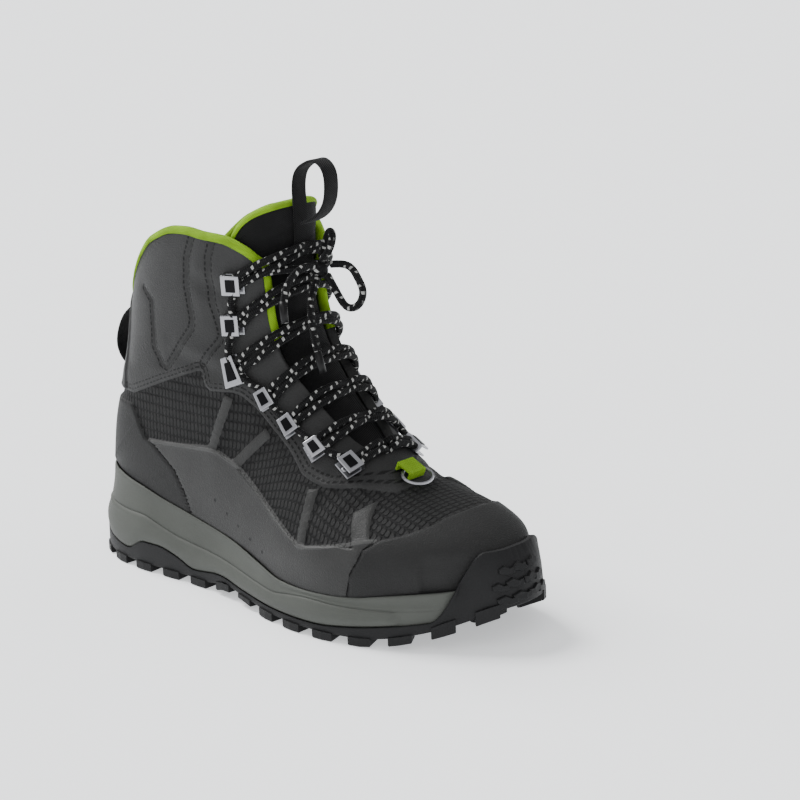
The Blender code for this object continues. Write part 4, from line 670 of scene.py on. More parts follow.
def upperMaterial():
    look = Look("upperLook", upperLook["shaft"], 0.55, Specular_IOR_Level=0.22)
    u, v = look.plan()
    wave = lambda value, size: look.math("COSINE", look.math("MULTIPLY", value, math.pi / size))
    cell = look.math("MULTIPLY", wave(u, upperLook["cellWide"]), wave(v, upperLook["cellTall"]))
    scale = look.ramp(look.math("ABSOLUTE", cell), 0.10, 0.62)
    grain = look.noise(900, 4)
    pores = look.cells(1300)
    cloud = look.noise(45, 3)
    side = look.ramp(look.field("side"), -0.0001, 0.0002)
    shaft = look.ramp(look.field("shaft"), -0.0001, 0.0002)
    rubber = look.ramp(look.math("MAXIMUM", look.field("toeCap"), look.field("counter")), -0.0001, 0.0002)
    tab = look.ramp(look.field("heelTab"), -0.0001, 0.0002)
    panel = look.math("MAXIMUM", look.math("MAXIMUM", side, shaft), rubber)
    colour = look.blend(scale, upperLook["mesh"], upperLook["meshRaised"])
    colour = look.blend(side, colour, upperLook["side"])
    colour = look.blend(shaft, colour, upperLook["shaft"])
    colour = look.blend(rubber, colour, upperLook["rubber"])
    bare = look.math("SUBTRACT", 1.0, rubber)
    piping = look.math("MULTIPLY", look.ramp(look.field("piping"), 0.0013, 0.0008), bare)
    colour = look.blend(piping, colour, upperLook["piping"])
    colour = look.blend(look.math("MULTIPLY", tab, 0.9), colour, upperLook["tab"])
    # double rows of thread beside the seams and the hem of the shaft
    stitches = None
    for off, along, middle in upperLook["threadRows"]:
        away = look.math("ABSOLUTE", look.math("SUBTRACT", look.field(off), middle))
        row = look.ramp(away, 0.0006, 0.0003)
        dash = look.ramp(look.math("SINE", look.math("MULTIPLY", look.field(along),
                                                     2 * math.pi / upperLook["stitchLong"])), -0.55, -0.25)
        one = look.math("MULTIPLY", look.math("MULTIPLY", row, dash), shaft)
        stitches = one if stitches is None else look.math("MAXIMUM", stitches, one)
    colour = look.blend(stitches, colour, upperLook["thread"])
    flat = look.node("ShaderNodeVectorMath", operation="MULTIPLY")
    look.tree.links.new(look.place(), flat.inputs[0])
    flat.inputs[1].default_value = (1, 0, 1)
    hole = 0.0
    for x, z in toMetres(panels["holes"]):
        away = look.node("ShaderNodeVectorMath", operation="DISTANCE")
        look.tree.links.new(flat.outputs[0], away.inputs[0])
        away.inputs[1].default_value = (x - origin[0], 0, z)
        size = upperLook["holeSize"]
        hole = look.math("MAXIMUM", look.ramp(away.outputs["Value"], size, size * 0.8), hole)
    # painted shade: the perforations are not cut through, and their near-black dots stand for the shade
    # inside them
    colour = look.blend(hole, colour, (0.006, 0.006, 0.006))
    worn = look.blend(look.ramp(cloud, 0.30, 0.75), (0.86, 0.86, 0.86), (1.10, 1.10, 1.10))
    made = look.node("ShaderNodeMix", data_type="RGBA", blend_type="MULTIPLY")
    made.inputs["Factor"].default_value = 1.0
    look.feed(made.inputs["A"], colour)
    look.feed(made.inputs["B"], worn)
    rough = look.mix(panel, 0.72, look.mix(rubber, 0.50, 0.60))
    rough = look.math("ADD", rough, look.math("MULTIPLY", look.math("SUBTRACT", grain, 0.5), 0.22))
    normal = look.bump(look.math("MULTIPLY", scale, look.math("SUBTRACT", 1.0, panel)), 0.0008)
    normal = look.bump(look.math("ADD", panel, look.math("MULTIPLY", piping, 0.6)), 0.0006, normal)
    relief = look.math("SUBTRACT", look.math("MULTIPLY", stitches, 0.8), look.math("MULTIPLY", hole, 3.0))
    normal = look.bump(relief, 0.0004, normal)
    fine = look.math("ADD", look.math("MULTIPLY", grain, 0.6), look.math("MULTIPLY", pores, 0.8))
    normal = look.bump(fine, 0.00022, normal)
    return look.finish(made.outputs["Result"], rough, normal)


# sole: rings round the outline, the same profile as the solids but finer
soleRing = {"rows": 120, "across": 6}


def ringShares():
    return [float(edgeShare(t)) for t in np.linspace(0, heelSeatRow, soleRing["rows"])]


def soleLoop(inset, height):
    shares = ringShares()
    points = []
    for side, order in ((-1, shares), (1, shares[::-1][1:-1])):
        for u in order:
            x = outlinePoint(side, u)[0]
            px, py = outlinePoint(side, u, inset(u, x))
            points.append((px, py, float(height(u, x))))
    return points


def bumper(u):
    s = min(max((0.150 - u) / 0.085, 0.0), 1.0)
    return s * s * (3 - 2 * s)


def lipThick(u):
    return line["lipThick"](u) * ballWidth


def lipZ(u, x):
    low = partingZ(x) + 0.0012
    return low + (boot["bumperTop"] - low) * bumper(u)


toeCloud = np.vstack([sectionLine(t, side, 24) for t in np.linspace(0.05, 4.5, 60) for side in (-1, 1)])


def upperInset(u, z):
    nearest = 0.03
    for side in (-1, 1):
        p = outlinePoint(side, u)
        n = (p - outlinePoint(side, u, 0.01)) / 0.01
        gap = p - toeCloud[:, :2]
        near = (np.abs(toeCloud[:, 2] - z) < 0.0015) & (np.abs(gap @ np.array([-n[1], n[0]])) < 0.004)
        if near.any():
            nearest = min(nearest, float((gap[near] @ n).min()))
    return nearest


def bumperProfile(u, x):
    floor, top, rim = float(partingZ(x)), float(lipZ(u, x)), float(rimZ(x)) + 0.0008
    thick = lipThick(u)
    if top < rim + 0.002:
        rise = (top - floor) / 3
        return [(thick, floor + rise * k) for k in range(4)]
    half = (rim + top) / 2
    inner = thick + 0.0010 * bumper(u)
    room = boot["bumperRoom"]
    return [(thick, floor), (inner, rim), (max(inner, upperInset(u, half) - room), half),
            (max(inner, upperInset(u, top) - room), top)]


def capFaces(start, loop, verts, height, across):
    # closes a ring with rows across it
    n = len(loop) // 2
    rows = [[start]]
    for k in range(1, n):
        a, b = np.array(loop[k]), np.array(loop[-k])
        row = [start + k]
        for m in range(1, across):
            p = a + (b - a) * m / across
            p[2] = height(p[0])
            row.append(len(verts))
            verts.append(p)
        rows.append(row + [start + len(loop) - k])
    rows.append([start + n])
    faces = []
    for a, b in zip(rows, rows[1:]):
        if len(a) == 1:
            faces += [(a[0], b[m], b[m + 1]) for m in range(len(b) - 1)]
        elif len(b) == 1:
            faces += [(b[0], a[m + 1], a[m]) for m in range(len(a) - 1)]
        else:
            faces += stripFaces(a, b)
    return faces


def soleShell(loops, bottom, top):
    # closed shell through the loops, its underside and top filled across
    verts, faces, starts = [], [], []
    for loop in loops:
        starts.append(len(verts))
        verts += [np.array(p, float) for p in loop]
    n = len(loops[0])
    for a, b in zip(starts, starts[1:]):
        faces += stripFaces(list(range(a, a + n)), list(range(b, b + n)), closed=True)
    faces += capFaces(starts[0], loops[0], verts, bottom, soleRing["across"])
    faces += capFaces(starts[-1], loops[-1], verts, top, soleRing["across"])
    return verts, faces


midsoleProfile = {
    "bulge": 0.0012, "lean": 0.0016, "heelLean": 0.0050, "heelLeanFrom": 0.45, "seam": 0.0018,
    "rimIn": 0.0030, "cupIn": 0.0018,
    "wallLevels": 9, "upperLevels": 8,
    # ledge above the step line: how far in, how high above it
    "ledge": [(0.0009, 0.0003), (0.0014, 0.0008), (0.0010, 0.0014)], "ledgeTop": 0.0014, "upperDip": 0.0008,
}


def midsoleInset(extra, lean):
    # how far in from the outline the wall lies: it leans in as it rises, more towards the heel
    def inset(u, x):
        heel = min(max((u - midsoleProfile["heelLeanFrom"]) / 0.5, 0.0), 1.0)
        own = extra + (midsoleProfile["lean"] + midsoleProfile["heelLean"] * heel) * lean
        return max(lipThick(u) + boot["fit"] + 0.0013 * bumper(u), own) if u < 0.2 else own

    return inset


def buildMidsole(look):
    profile = midsoleProfile
    low = lambda u, x: partingZ(x) + profile["seam"]
    atFloor = lambda u, x: partingZ(x) + boot["fit"]
    behindLip = lambda u, x: lipThick(u) + boot["fit"]
    loops = [soleLoop(behindLip, atFloor), soleLoop(behindLip, low)]
    for f in np.linspace(0, 1, profile["wallLevels"]):
        bulge = 0.0004 * (1 - f) - profile["bulge"] * math.sin(math.pi * min(f * 1.15, 1.0))
        height = lambda u, x: low(u, x) + 0.0004 * (1 - f) + (stepZ(x) - low(u, x)) * f
        loops.append(soleLoop(midsoleInset(bulge, 0.40 * f), height))
    for out, rise in profile["ledge"]:
        loops.append(soleLoop(midsoleInset(out, 0.42), lambda u, x: stepZ(x) + rise))
    for f in np.linspace(0.1, 1, profile["upperLevels"]):
        out = 0.0009 + profile["upperDip"] * math.sin(math.pi * f) * 0.6 - 0.0003 * f
        height = lambda u, x: (stepZ(x) + profile["ledgeTop"]) * (1 - f) + (rimZ(x) - 0.0010) * f
        loops.append(soleLoop(midsoleInset(out, 0.42 + 0.53 * f), height))
    inner = lambda u, x: max(line["edgeInset"](u) * ballWidth - profile["rimIn"], lipThick(u) + 0.0022)
    loops.append(soleLoop(midsoleInset(0.0009, 0.98), lambda u, x: rimZ(x) - 0.0003))
    loops.append(soleLoop(midsoleInset(0.0017, 1.0), lambda u, x: rimZ(x)))
    loops.append(soleLoop(inner, lambda u, x: rimZ(x) - 0.0002))
    cup = lambda u, x: line["edgeInset"](u) * ballWidth - profile["cupIn"]
    loops.append(soleLoop(cup, lambda u, x: rimZ(x) - boot["cupDepth"]))
    verts, faces = soleShell(loops, lambda x: partingZ(x) + boot["fit"],
                             lambda x: min(rimZ(x) - boot["cupDepth"], boot["bedTop"]))
    piece = faceOut(makeMesh("midsoleWall", verts, faces, look))
    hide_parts("midsole")
    return piece


tread = {
    "edgeCount": 15, "edgeLong": 0.112, "edgeDeep": (0.130, 0.180), "proud": 0.0006, "noseProud": 0.0009,
    "star": [(1.0, -16), (1.0, 16), (0.36, 60)],
    "lipShares": (1.0, 0.90, 0.85, 0.75), "toeRoot": 0.0030, "toeRootFrom": (0.87, 0.93), "tip": 0.93,
    # lugs in the middle: share of length, share of ball width, turn, size
    "middle": [
        (0.125, 0.000, 0, 0.105), (0.195, -0.120, 180, 0.095), (0.195, 0.110, 180, 0.095),
        (0.265, -0.010, 0, 0.100), (0.345, -0.010, 180, 0.085), (0.430, -0.020, 0, 0.080),
        (0.520, -0.150, 180, 0.090), (0.535, 0.120, 180, 0.090), (0.595, -0.015, 0, 0.105),
        (0.655, -0.200, 180, 0.100), (0.665, 0.180, 180, 0.100), (0.710, -0.015, 0, 0.110),
        (0.775, -0.190, 180, 0.100), (0.785, 0.185, 180, 0.100), (0.835, 0.005, 0, 0.110),
        (0.915, 0.040, 0, 0.090),
    ],
}


def lugOutlines():
    outlines = []
    for side in (-1, 1):
        total = travel(solePlan[side][1][:, :2])[-1]
        for k in range(tread["edgeCount"]):
            u = 0.035 + (k + 0.5) * 0.955 / tread["edgeCount"]
            du = tread["edgeLong"] * ballWidth / 2 / total
            reach = tread["edgeDeep"][k % 2] * ballWidth
            corners = [(-1, -tread["proud"]), (0, -tread["noseProud"]), (1, -tread["proud"]),
                       (0.9, reach * 0.62), (0.35, reach), (-0.75, reach * 0.86)]
            outlines.append([outlinePoint(side, u + du * share, inset) for share, inset in corners])
    for sx, sy, turn, size in tread["middle"]:
        points = []
        for arm in (0, 120, 240):
            for share, angle in tread["star"]:
                a = math.radians(arm + angle + turn)
                points.append((sx * length + math.cos(a) * share * size * ballWidth,
                               sy * ballWidth + math.sin(a) * share * size * ballWidth))
        outlines.append(points)
    return outlines


def outerFace(u, x, k):
    # outside of the toe bumper across from its inner face at level k
    return max(bumperProfile(u, x)[k][0] - lipThick(u) * tread["lipShares"][k], 0.0002)


def buildOutsole(look):
    base = lambda rise: lambda u, x: baseZ(x) + rise
    level = lambda k: lambda u, x: bumperProfile(u, x)[k][1]
    loops = [soleLoop(lambda u, x: 0.0012, base(0)), soleLoop(lambda u, x: 0.0003, base(0.0004)),
             soleLoop(lambda u, x: 0.0, base(0.0010))]
    for k in (1, 2, 3):
        loops.append(soleLoop(lambda u, x: outerFace(u, x, k), level(k)))
    for k in (3, 2, 1, 0):
        loops.append(soleLoop(lambda u, x: bumperProfile(u, x)[k][0], level(k)))
    verts, faces = soleShell(loops, baseZ, partingZ)
    piece = faceOut(makeMesh("outsoleShell", verts, faces, look))
    bevelEdges(piece, 0.0006, 2, 50)
    root = lambda x: baseZ(x) + 0.0009 + tread["toeRoot"] * softStep(x / length, *tread["toeRootFrom"])
    levels = ((1.0, root), (1.0, lambda x: lugZ(x) + 0.0007), (tread["tip"], lugZ))
    lugVerts, lugFaces = [], []
    for outline in lugOutlines():
        outline = [np.array(p, float) for p in outline]
        middle = np.mean(outline, axis=0)
        area = sum(a[0] * b[1] - b[0] * a[1] for a, b in zip(outline, outline[1:] + outline[:1]))
        outline = outline if area > 0 else outline[::-1]
        rings = []
        for shrink, high in levels:
            rings.append(list(range(len(lugVerts), len(lugVerts) + len(outline))))
            for p in outline:
                q = middle + (p - middle) * shrink
                lugVerts.append((q[0], q[1], float(high(p[0]))))
        for a, b in zip(rings, rings[1:]):
            lugFaces += stripFaces(a, b, closed=True)
        lugFaces += [tuple(rings[0]), tuple(rings[-1][::-1])]
    lugs = faceOut(makeMesh("treadLugs", lugVerts, lugFaces, look, smooth=False))
    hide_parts("outsole")
    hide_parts("outsole")
    return piece


toeLugs = {
    # side, share round from the tip, height, half length round, half height
    "blocks": [
        (-1, 0.010, 0.0280, 0.0066, 0.0026), (-1, 0.036, 0.0268, 0.0062, 0.0026),
        (-1, 0.022, 0.0355, 0.0058, 0.0028), (-1, 0.046, 0.0340, 0.0048, 0.0026),
        (-1, 0.008, 0.0430, 0.0052, 0.0026), (-1, 0.034, 0.0425, 0.0050, 0.0026),
        (1, 0.018, 0.0285, 0.0064, 0.0026), (1, 0.044, 0.0272, 0.0060, 0.0026),
        (1, 0.008, 0.0360, 0.0052, 0.0028), (1, 0.034, 0.0352, 0.0052, 0.0028),
        (1, 0.022, 0.0435, 0.0048, 0.0024),
    ],
    "proud": 0.0014, "sink": 0.0012,
    # corners of a block, in halves of its length and height
    "corners": [(-1.0, -0.6), (-0.2, -1.0), (0.9, -0.5), (1.0, 0.4), (0.25, 1.0), (-0.35, 0.35),
                (-0.95, 0.55)],
}


def toeFace(side, u, z, out):
    # place on the outside of the bumper at a height, pushed out of it
    x = outlinePoint(side, u)[0]
    profile = bumperProfile(u, x)
    insets = [0.0] + [outerFace(u, x, k) for k in (1, 2, 3)]
    heights = [baseZ(x) + 0.0010] + [p[1] for p in profile[1:]]
    px, py = outlinePoint(side, u, float(np.interp(z, heights, insets)) - out)
    return (px, py, z)


def buildToeLugs(look):
    total = travel(solePlan[-1][1][:, :2])[-1]
    verts, faces = [], []
    for side, u, z, long, tall in toeLugs["blocks"]:
        rings = []
        proud = toeLugs["proud"]
        for out, shrink in ((-toeLugs["sink"], 1.08), (proud * 0.7, 1.0), (proud, 0.86)):
            rings.append(list(range(len(verts), len(verts) + len(toeLugs["corners"]))))
            for a, b in toeLugs["corners"]:
                around = u + a * long / total * shrink
                verts.append(toeFace(side if around >= 0 else -side, abs(around), z + b * tall * shrink, out))
        for a, b in zip(rings, rings[1:]):
            faces += stripFaces(a, b, closed=True)
        faces += [tuple(rings[0][::-1]), tuple(rings[-1])]
    piece = faceOut(makeMesh("toeLugs", verts, faces, look, smooth=False))
    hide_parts("outsole")
    return piece


def rubberMaterial(name, colour, rough, bumpDepth, cloudy):
    look = Look(name, colour, rough, Specular_IOR_Level=0.2)
    grain, cloud = look.noise(1400, 3), look.noise(30, 4)
    shade = look.blend(look.ramp(cloud, 0.3, 0.7), tuple(c * (1 - cloudy) for c in colour),
                       tuple(c * (1 + cloudy) for c in colour))
    roughness = look.math("ADD", rough - 0.1, look.math("MULTIPLY", grain, 0.2))
    return look.finish(shade, roughness, look.bump(grain, bumpDepth))


# tongue, insole and edgings
tongueLook = {"top": 15.05, "deep": 0.0320, "thick": 0.0042, "rows": 90, "columns": 40}


def tongueGrid(rows, extra):
    half = line["tongueHalf"](rows) * ballWidth
    f = np.linspace(0, 1, tongueLook["columns"] + 1)
    grids = []
    for side in (-1, 1):
        surface = last[side]
        dip = np.where(rows > 14.9, 0.75, np.where(rows > 14.3, 0.35, 0.0))  # the top's corners are rounded
        row = rows[:, None] - dip[:, None] * f[None] ** 6
        share = f[None] * half[:, None] / surface.girth(row)
        padding = 1 + 0.5 * np.clip((rows[:, None] - 12) / 3, 0, 1)
        thick = tongueLook["thick"] * padding * (1 - 0.45 * f[None] ** 3)
        quilt = 0.0007 * np.abs(np.sin(row * 2.1)) * (1 - f[None] ** 2) if extra == 0 else 0.0
        points, _ = surface.place(row, share, -tongueLook["deep"] * ballWidth + quilt - thick * extra)
        grids.append(points)
    return np.concatenate([grids[0][:, ::-1], grids[1][:, 1:]], axis=1)


def buildTongue(look):
    rows = np.linspace(5.05, tongueLook["top"], tongueLook["rows"])
    front, back = tongueGrid(rows, 0), tongueGrid(rows, 1)
    shape = front.shape[:2]
    number = np.arange(shape[0] * shape[1]).reshape(shape)
    count = number.size
    verts = np.vstack([front.reshape(-1, 3), back.reshape(-1, 3)])
    faces = []
    for offset in (0, count):
        for i in range(shape[0] - 1):
            faces += stripFaces(list(number[i] + offset), list(number[i + 1] + offset))
    for edge in (number[0], number[-1], number[:, 0], number[:, -1]):
        faces += stripFaces(list(edge), list(edge + count))
    piece = faceOut(makeMesh("tonguePad", verts, faces, look))
    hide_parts("tongue")
    return piece


def fabricMaterial(name, colour, pitch, depth, rough=0.85, sheen=0.25):
    # woven cloth: two crossed waves with a little unevenness, and painted shade in the hollows of the weave
    look = Look(name, colour, rough, Sheen_Weight=sheen, Sheen_Roughness=0.5, Specular_IOR_Level=0.12)
    split = look.node("ShaderNodeSeparateXYZ")
    look.tree.links.new(look.place(), split.inputs[0])
    wave = lambda value: look.math("SINE", look.math("MULTIPLY", value, 2 * math.pi / pitch))
    across = look.math("ADD", split.outputs["X"], split.outputs["Y"])
    weave = look.math("MULTIPLY", wave(across), wave(split.outputs["Z"]))
    cloud = look.noise(80, 3)
    darker, lighter = tuple(c * 0.82 for c in colour), tuple(c * 1.15 for c in colour)
    shade = look.blend(look.ramp(cloud, 0.3, 0.7), darker, lighter)
    # painted shade: where the weave's relief is lowest the colour is darkened to 0.45 of itself
    shade = look.blend(look.ramp(weave, -0.2, -0.9), shade, tuple(c * 0.45 for c in colour))
    return look.finish(shade, None, look.bump(weave, depth))


def edging(name, edge, high, low, top, look, replaced):
    # rounded strip over an edge: edge is a list of (point, normal)
    points = np.array([p for p, _ in edge])
    normals = np.array([n for _, n in edge])
    way = np.gradient(points, axis=0)
    way /= np.linalg.norm(way, axis=1)[:, None]
    past = np.cross(normals, way)
    past /= np.linalg.norm(past, axis=1)[:, None]
    middle, half = (low + top) / 2, (top - low) / 2
    verts, rings, faces = [], [], []
    for p, n, e in zip(points, normals, past):
        rings.append(list(range(len(verts), len(verts) + 12)))
        for k in range(12):
            a = math.pi * k / 11
            over = (high + 0.0004) * math.sin(a) ** 0.8 - 0.0004
            verts.append(p + n * (middle + half * math.cos(a)) + e * over)
    for a, b in zip(rings, rings[1:]):
        faces += stripFaces(a, b, closed=True)
    faces += [tuple(rings[0][::-1]), tuple(rings[-1])]
    piece = faceOut(makeMesh(name, verts, faces, look))
    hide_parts(replaced)
    return piece


def collarEdge():
    edge = []
    for side in (-1, 1):
        surface = last[side]
        up = np.linspace(9.35, float(line["collar"](0.0)), 60)
        around = np.linspace(0, 1, 140)[1:]
        rows = np.r_[up, line["collar"](around)]
        free = line["throat"](rows) * ballWidth / surface.girth(rows)
        share = np.r_[free[:60], free[60:] + (1 - free[60:]) * around]
        points, normals = surface.place(rows, share)
        normals[-1, 1] = 0
        half = list(zip(points, normals / np.linalg.norm(normals, axis=1)[:, None]))
        edge += half if side < 0 else half[::-1][1:]
    return edge[::-1]


def tongueEdge():
    f = np.linspace(-1, 1, 61)
    edge = []
    half = float(line["tongueHalf"](tongueLook["top"])) * ballWidth
    for g in f:
        side = -1 if g < 0 else 1
        row = tongueLook["top"] - 0.75 * abs(g) ** 6
        p, n = last[side].place(np.array([row]), np.array([abs(g) * half / last[side].girth(row)]))
        n = n[0] * ([1, 0, 1] if abs(g) < 1e-6 else [1, 1, 1])
        n = n / np.linalg.norm(n)
        edge.append((p[0] - n * tongueLook["deep"] * ballWidth, n))
    return edge


# metal fittings down each side: name, row, share round, half length, half width, height, taper, opening
fittings = [
    ("hook_top", 12.35, 0.212, 0.0058, 0.0062, 0.0052, 0.00, 1),
    ("hook_second", 10.75, 0.212, 0.0058, 0.0062, 0.0052, 0.00, 1),
    ("hook_ankle", 9.45, 0.300, 0.0085, 0.0095, 0.0052, 0.55, 1),
    ("loop_upper", 8.40, 0.290, 0.0055, 0.0062, 0.0058, 0.25, -1),
    ("loop_middle", 7.53, 0.305, 0.0055, 0.0062, 0.0058, 0.25, -1),
    ("loop_lower", 6.66, 0.305, 0.0055, 0.0062, 0.0058, 0.25, -1),
    ("loop_base", 5.80, 0.246, 0.0060, 0.0062, 0.0058, 0.10, -1),
]
fittingSizes = {
    "lift": 0.0023, "metal": 0.0012, "bevel": 0.00045, "turn": 0.0090, "throatShare": 0.62, "lipShare": 0.75,
    "padThick": 0.0005, "rivet": 0.0016,
}


def placeOn(t, distance, side, lift=0.0):
    # point on the boot, the way out of it, the way up the throat and the way to the back
    surface = last[side]
    read = lambda row: surface.place(np.array([row]), np.array([distance / float(surface.girth(row))]))
    p, n = (value[0] for value in read(t))
    if distance < 1e-5:
        n = n * [1, 0, 1]
        n = n / np.linalg.norm(n)
    ahead = read(t + 0.15)[0][0] - read(t - 0.15)[0][0]
    ahead = ahead - n * (ahead @ n)
    ahead /= np.linalg.norm(ahead)
    return p + n * lift, n, ahead, np.cross(ahead, n) * (1 if side < 0 else -1)


def extruded(name, profile, centre, ways, half, look, narrow):
    # profile drawn out both ways from its centre, each end with its own width
    a, b, n = ways
    verts, rings = [], []
    for end in (0, 1):
        rings.append(list(range(len(verts), len(verts) + len(profile))))
        verts += [centre + a * half * (2 * end - 1) + b * p * narrow[end] + n * q for p, q in profile]
    faces = stripFaces(rings[0], rings[1], closed=True) + [tuple(rings[0]), tuple(rings[1][::-1])]
    return faceOut(makeMesh(name, verts, faces, look, smooth=False))


def buildFittings(metal, dark):
    for side, where in ((-1, "outer"), (1, "inner")):
        for name, t, share, long, wide, high, taper, opening in fittings:
            p, n, ahead, back = placeOn(t, share * float(last[side].girth(t)), side, fittingSizes["lift"])
            w, sheet = wide * opening, fittingSizes["metal"]
            inner, lip = -w * fittingSizes["throatShare"], w * fittingSizes["lipShare"]
            profile = [(w, 0), (-w, 0), (-w, high), (lip, high), (lip, high - sheet), (inner, high - sheet),
                       (inner, sheet), (w, sheet)]
            narrow = (1 - taper * 0.5, 1 - taper)
            plate = extruded(name + "Plate" + where, profile, p, (ahead, back, n), long, metal, narrow)
            bevelEdges(plate, fittingSizes["bevel"], 2, 30)
            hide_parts(f"{name}_{where}")
            over = high + fittingSizes["padThick"]
            top = [(-w * 0.55, high), (-w * 0.55, over), (w * 0.35, over), (w * 0.35, high)]
            pad = extruded(name + "Pad" + where, top, p, (ahead, back, n), long * 0.62, dark, narrow)
            bevelEdges(pad, 0.0002, 2, 30)
            rivet = bmesh.new()
            bmesh.ops.create_uvsphere(rivet, u_segments=16, v_segments=8, radius=fittingSizes["rivet"])
            seat = p + n * sheet + back * w * 0.55
            points = [seat + ahead * v.co.x + back * v.co.y + n * v.co.z * 0.35 for v in rivet.verts]
            rivetFaces = [tuple(v.index for v in f.verts) for f in rivet.faces]
            rivet.free()
            makeMesh(name + "Rivet" + where, points, rivetFaces, metal)


def metalMaterial(name, colour, rough):
    look = Look(name, colour, rough, Metallic=1.0)
    scratch, cloud = look.noise(2500, 2), look.noise(120, 3)
    roughness = look.math("ADD", rough - 0.08, look.math("MULTIPLY", cloud, 0.18))
    return look.finish(None, roughness, look.bump(scratch, 0.00004))


# lace: crossings over the throat, the knot, two loops and two ends
lace = {"radius": 0.0021, "rest": 0.0018, "edge": 0.0054, "knot": (0.5590, 0.0, 0.893),
        "knotSize": (0.0062, 0.0058, 0.0052), "fleckPitch": 0.0042, "meet": 0.0006, "barApart": 0.0025,
        "intoFitting": 0.0040, "tip": 0.012}
# free lace: node, route, way out of the knot, way back into it, what its far end is
freeLace = [
    ("lace_loop_front",
     [(0.6080, 0.060, 0.900), (0.6330, 0.050, 0.872), (0.6500, 0.030, 0.838), (0.6440, 0.010, 0.808),
      (0.6240, 0.000, 0.800), (0.6030, 0.000, 0.825)],
     (0.8, 0.5, 0.3), (0.85, 0.0, -0.5), "knot"),
    ("lace_loop_top",
     [(0.5560, 0.050, 0.950), (0.5660, 0.052, 0.985), (0.5860, 0.020, 0.980), (0.5880, -0.006, 0.950)],
     (-0.15, 0.4, 0.9), (0.5, -0.15, 0.85), "knot"),
    ("lace_end_one",
     [(0.5620, -0.110, 0.905), (0.5600, -0.185, 0.885), (0.5600, -0.240, 0.835), (0.5680, -0.262, 0.775)],
     (0.15, -0.95, 0.3), None, "bare"),
    ("lace_end_two",
     [(0.5700, -0.095, 0.815), (0.5850, -0.135, 0.765), (0.6000, -0.150, 0.700), (0.6120, -0.150, 0.640)],
     (0.1, -0.45, -0.9), None, "bare"),
]


def knotPoint():
    x, y, z = lace["knot"]
    return np.array([x * length, y * ballWidth, z * shaftHeight])


def onKnot(way):
    way = np.array(way, float) / np.linalg.norm(way)
    return knotPoint() + way * (1 / np.linalg.norm(way / np.array(lace["knotSize"])) + lace["meet"])


def strand(first):
    # one of the two runs: a bar across each row, then up the side to the next, and at last to the knot
    points, side = [], first
    for name, t, share, *_ in fittings[::-1]:
        for way, shares in ((side, np.linspace(1, 0, 7)), (-side, np.linspace(0, 1, 7)[1:])):
            reach = share * float(last[way].girth(t)) - fittingSizes["turn"] + lace["intoFitting"]
            edge = max(float(line["throat"](t)) * ballWidth - 0.005, 0.004)
            for f in shares:
                lean = min(f * reach / edge, 1.0)
                p, n, ahead, _ = placeOn(t, f * reach, way)
                lift = lace["rest"] + (lace["edge"] - lace["rest"]) * lean
                slack = 0.0007 * math.sin(4 * f + t * 2.3 + first)
                apart = first * lace["barApart"] * (0.75 + 0.25 * lean)
                points.append(p + n * lift + ahead * (apart + slack))
        side = -side
        # bulge inside the fitting before it goes up
        p, n, ahead, _ = placeOn(t, reach + 0.0022, side)
        points.append(p + n * lace["edge"] + ahead * (first * lace["barApart"] * 0.5 + 0.0022))
    end = onKnot(points[-1] - knotPoint())
    points += [points[-1] * 0.5 + end * 0.5 + np.array([0.0015, 0, 0.001]), end]
    return np.array(points)


def evenly(points, step):
    d = travel(points)
    return smoothLine(d, points)(np.linspace(0, d[-1], max(int(d[-1] / step), 8)))


def buildLace(look, tipLook):
    runs = [sweep(f"laceStrand{k}", evenly(strand(first), 0.0016), lace["radius"], look)
            for k, first in enumerate((-1, 1))]
    for run in runs:
        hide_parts("lace_bars")
    a = np.linspace(0, 2 * math.pi, 120)
    wraps = np.c_[np.sin(a) + 2 * np.sin(2 * a), np.cos(a) - 2 * np.cos(2 * a), -np.sin(3 * a)] / 3
    size = np.array(lace["knotSize"]) - 0.0016
    knot = sweep("laceKnot", knotPoint() + wraps[:, [2, 0, 1]] * size, lace["radius"], look)
    core = bmesh.new()
    bmesh.ops.create_uvsphere(core, u_segments=24, v_segments=16, radius=0.0042)
    coreVerts = [np.array(v.co) + knotPoint() for v in core.verts]
    coreFaces = [tuple(v.index for v in f.verts) for f in core.faces]
    core.free()
    heart = makeMesh("laceKnotHeart", coreVerts, coreFaces, look)
    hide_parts("lace_knot")
    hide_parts("lace_knot")
    for name, route, leave, enter, farEnd in freeLace:
        points = [onKnot(leave)] + [np.array(p) * [length, ballWidth, shaftHeight] for p in route]
        if enter:
            points.append(onKnot(enter))
        points = evenly(np.array(points), 0.0014)
        piece = sweep(name + "Cord", points, lace["radius"], look, sides=12)
        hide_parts(name)
        if farEnd == "bare":
            way = (points[-1] - points[-2]) / np.linalg.norm(points[-1] - points[-2])
            sealed = [points[-1] - way * back for back in (lace["tip"], lace["tip"] / 2, 0.0002)]
            sweep(name + "Tip", sealed, lace["radius"] * 1.06, tipLook, sides=14)


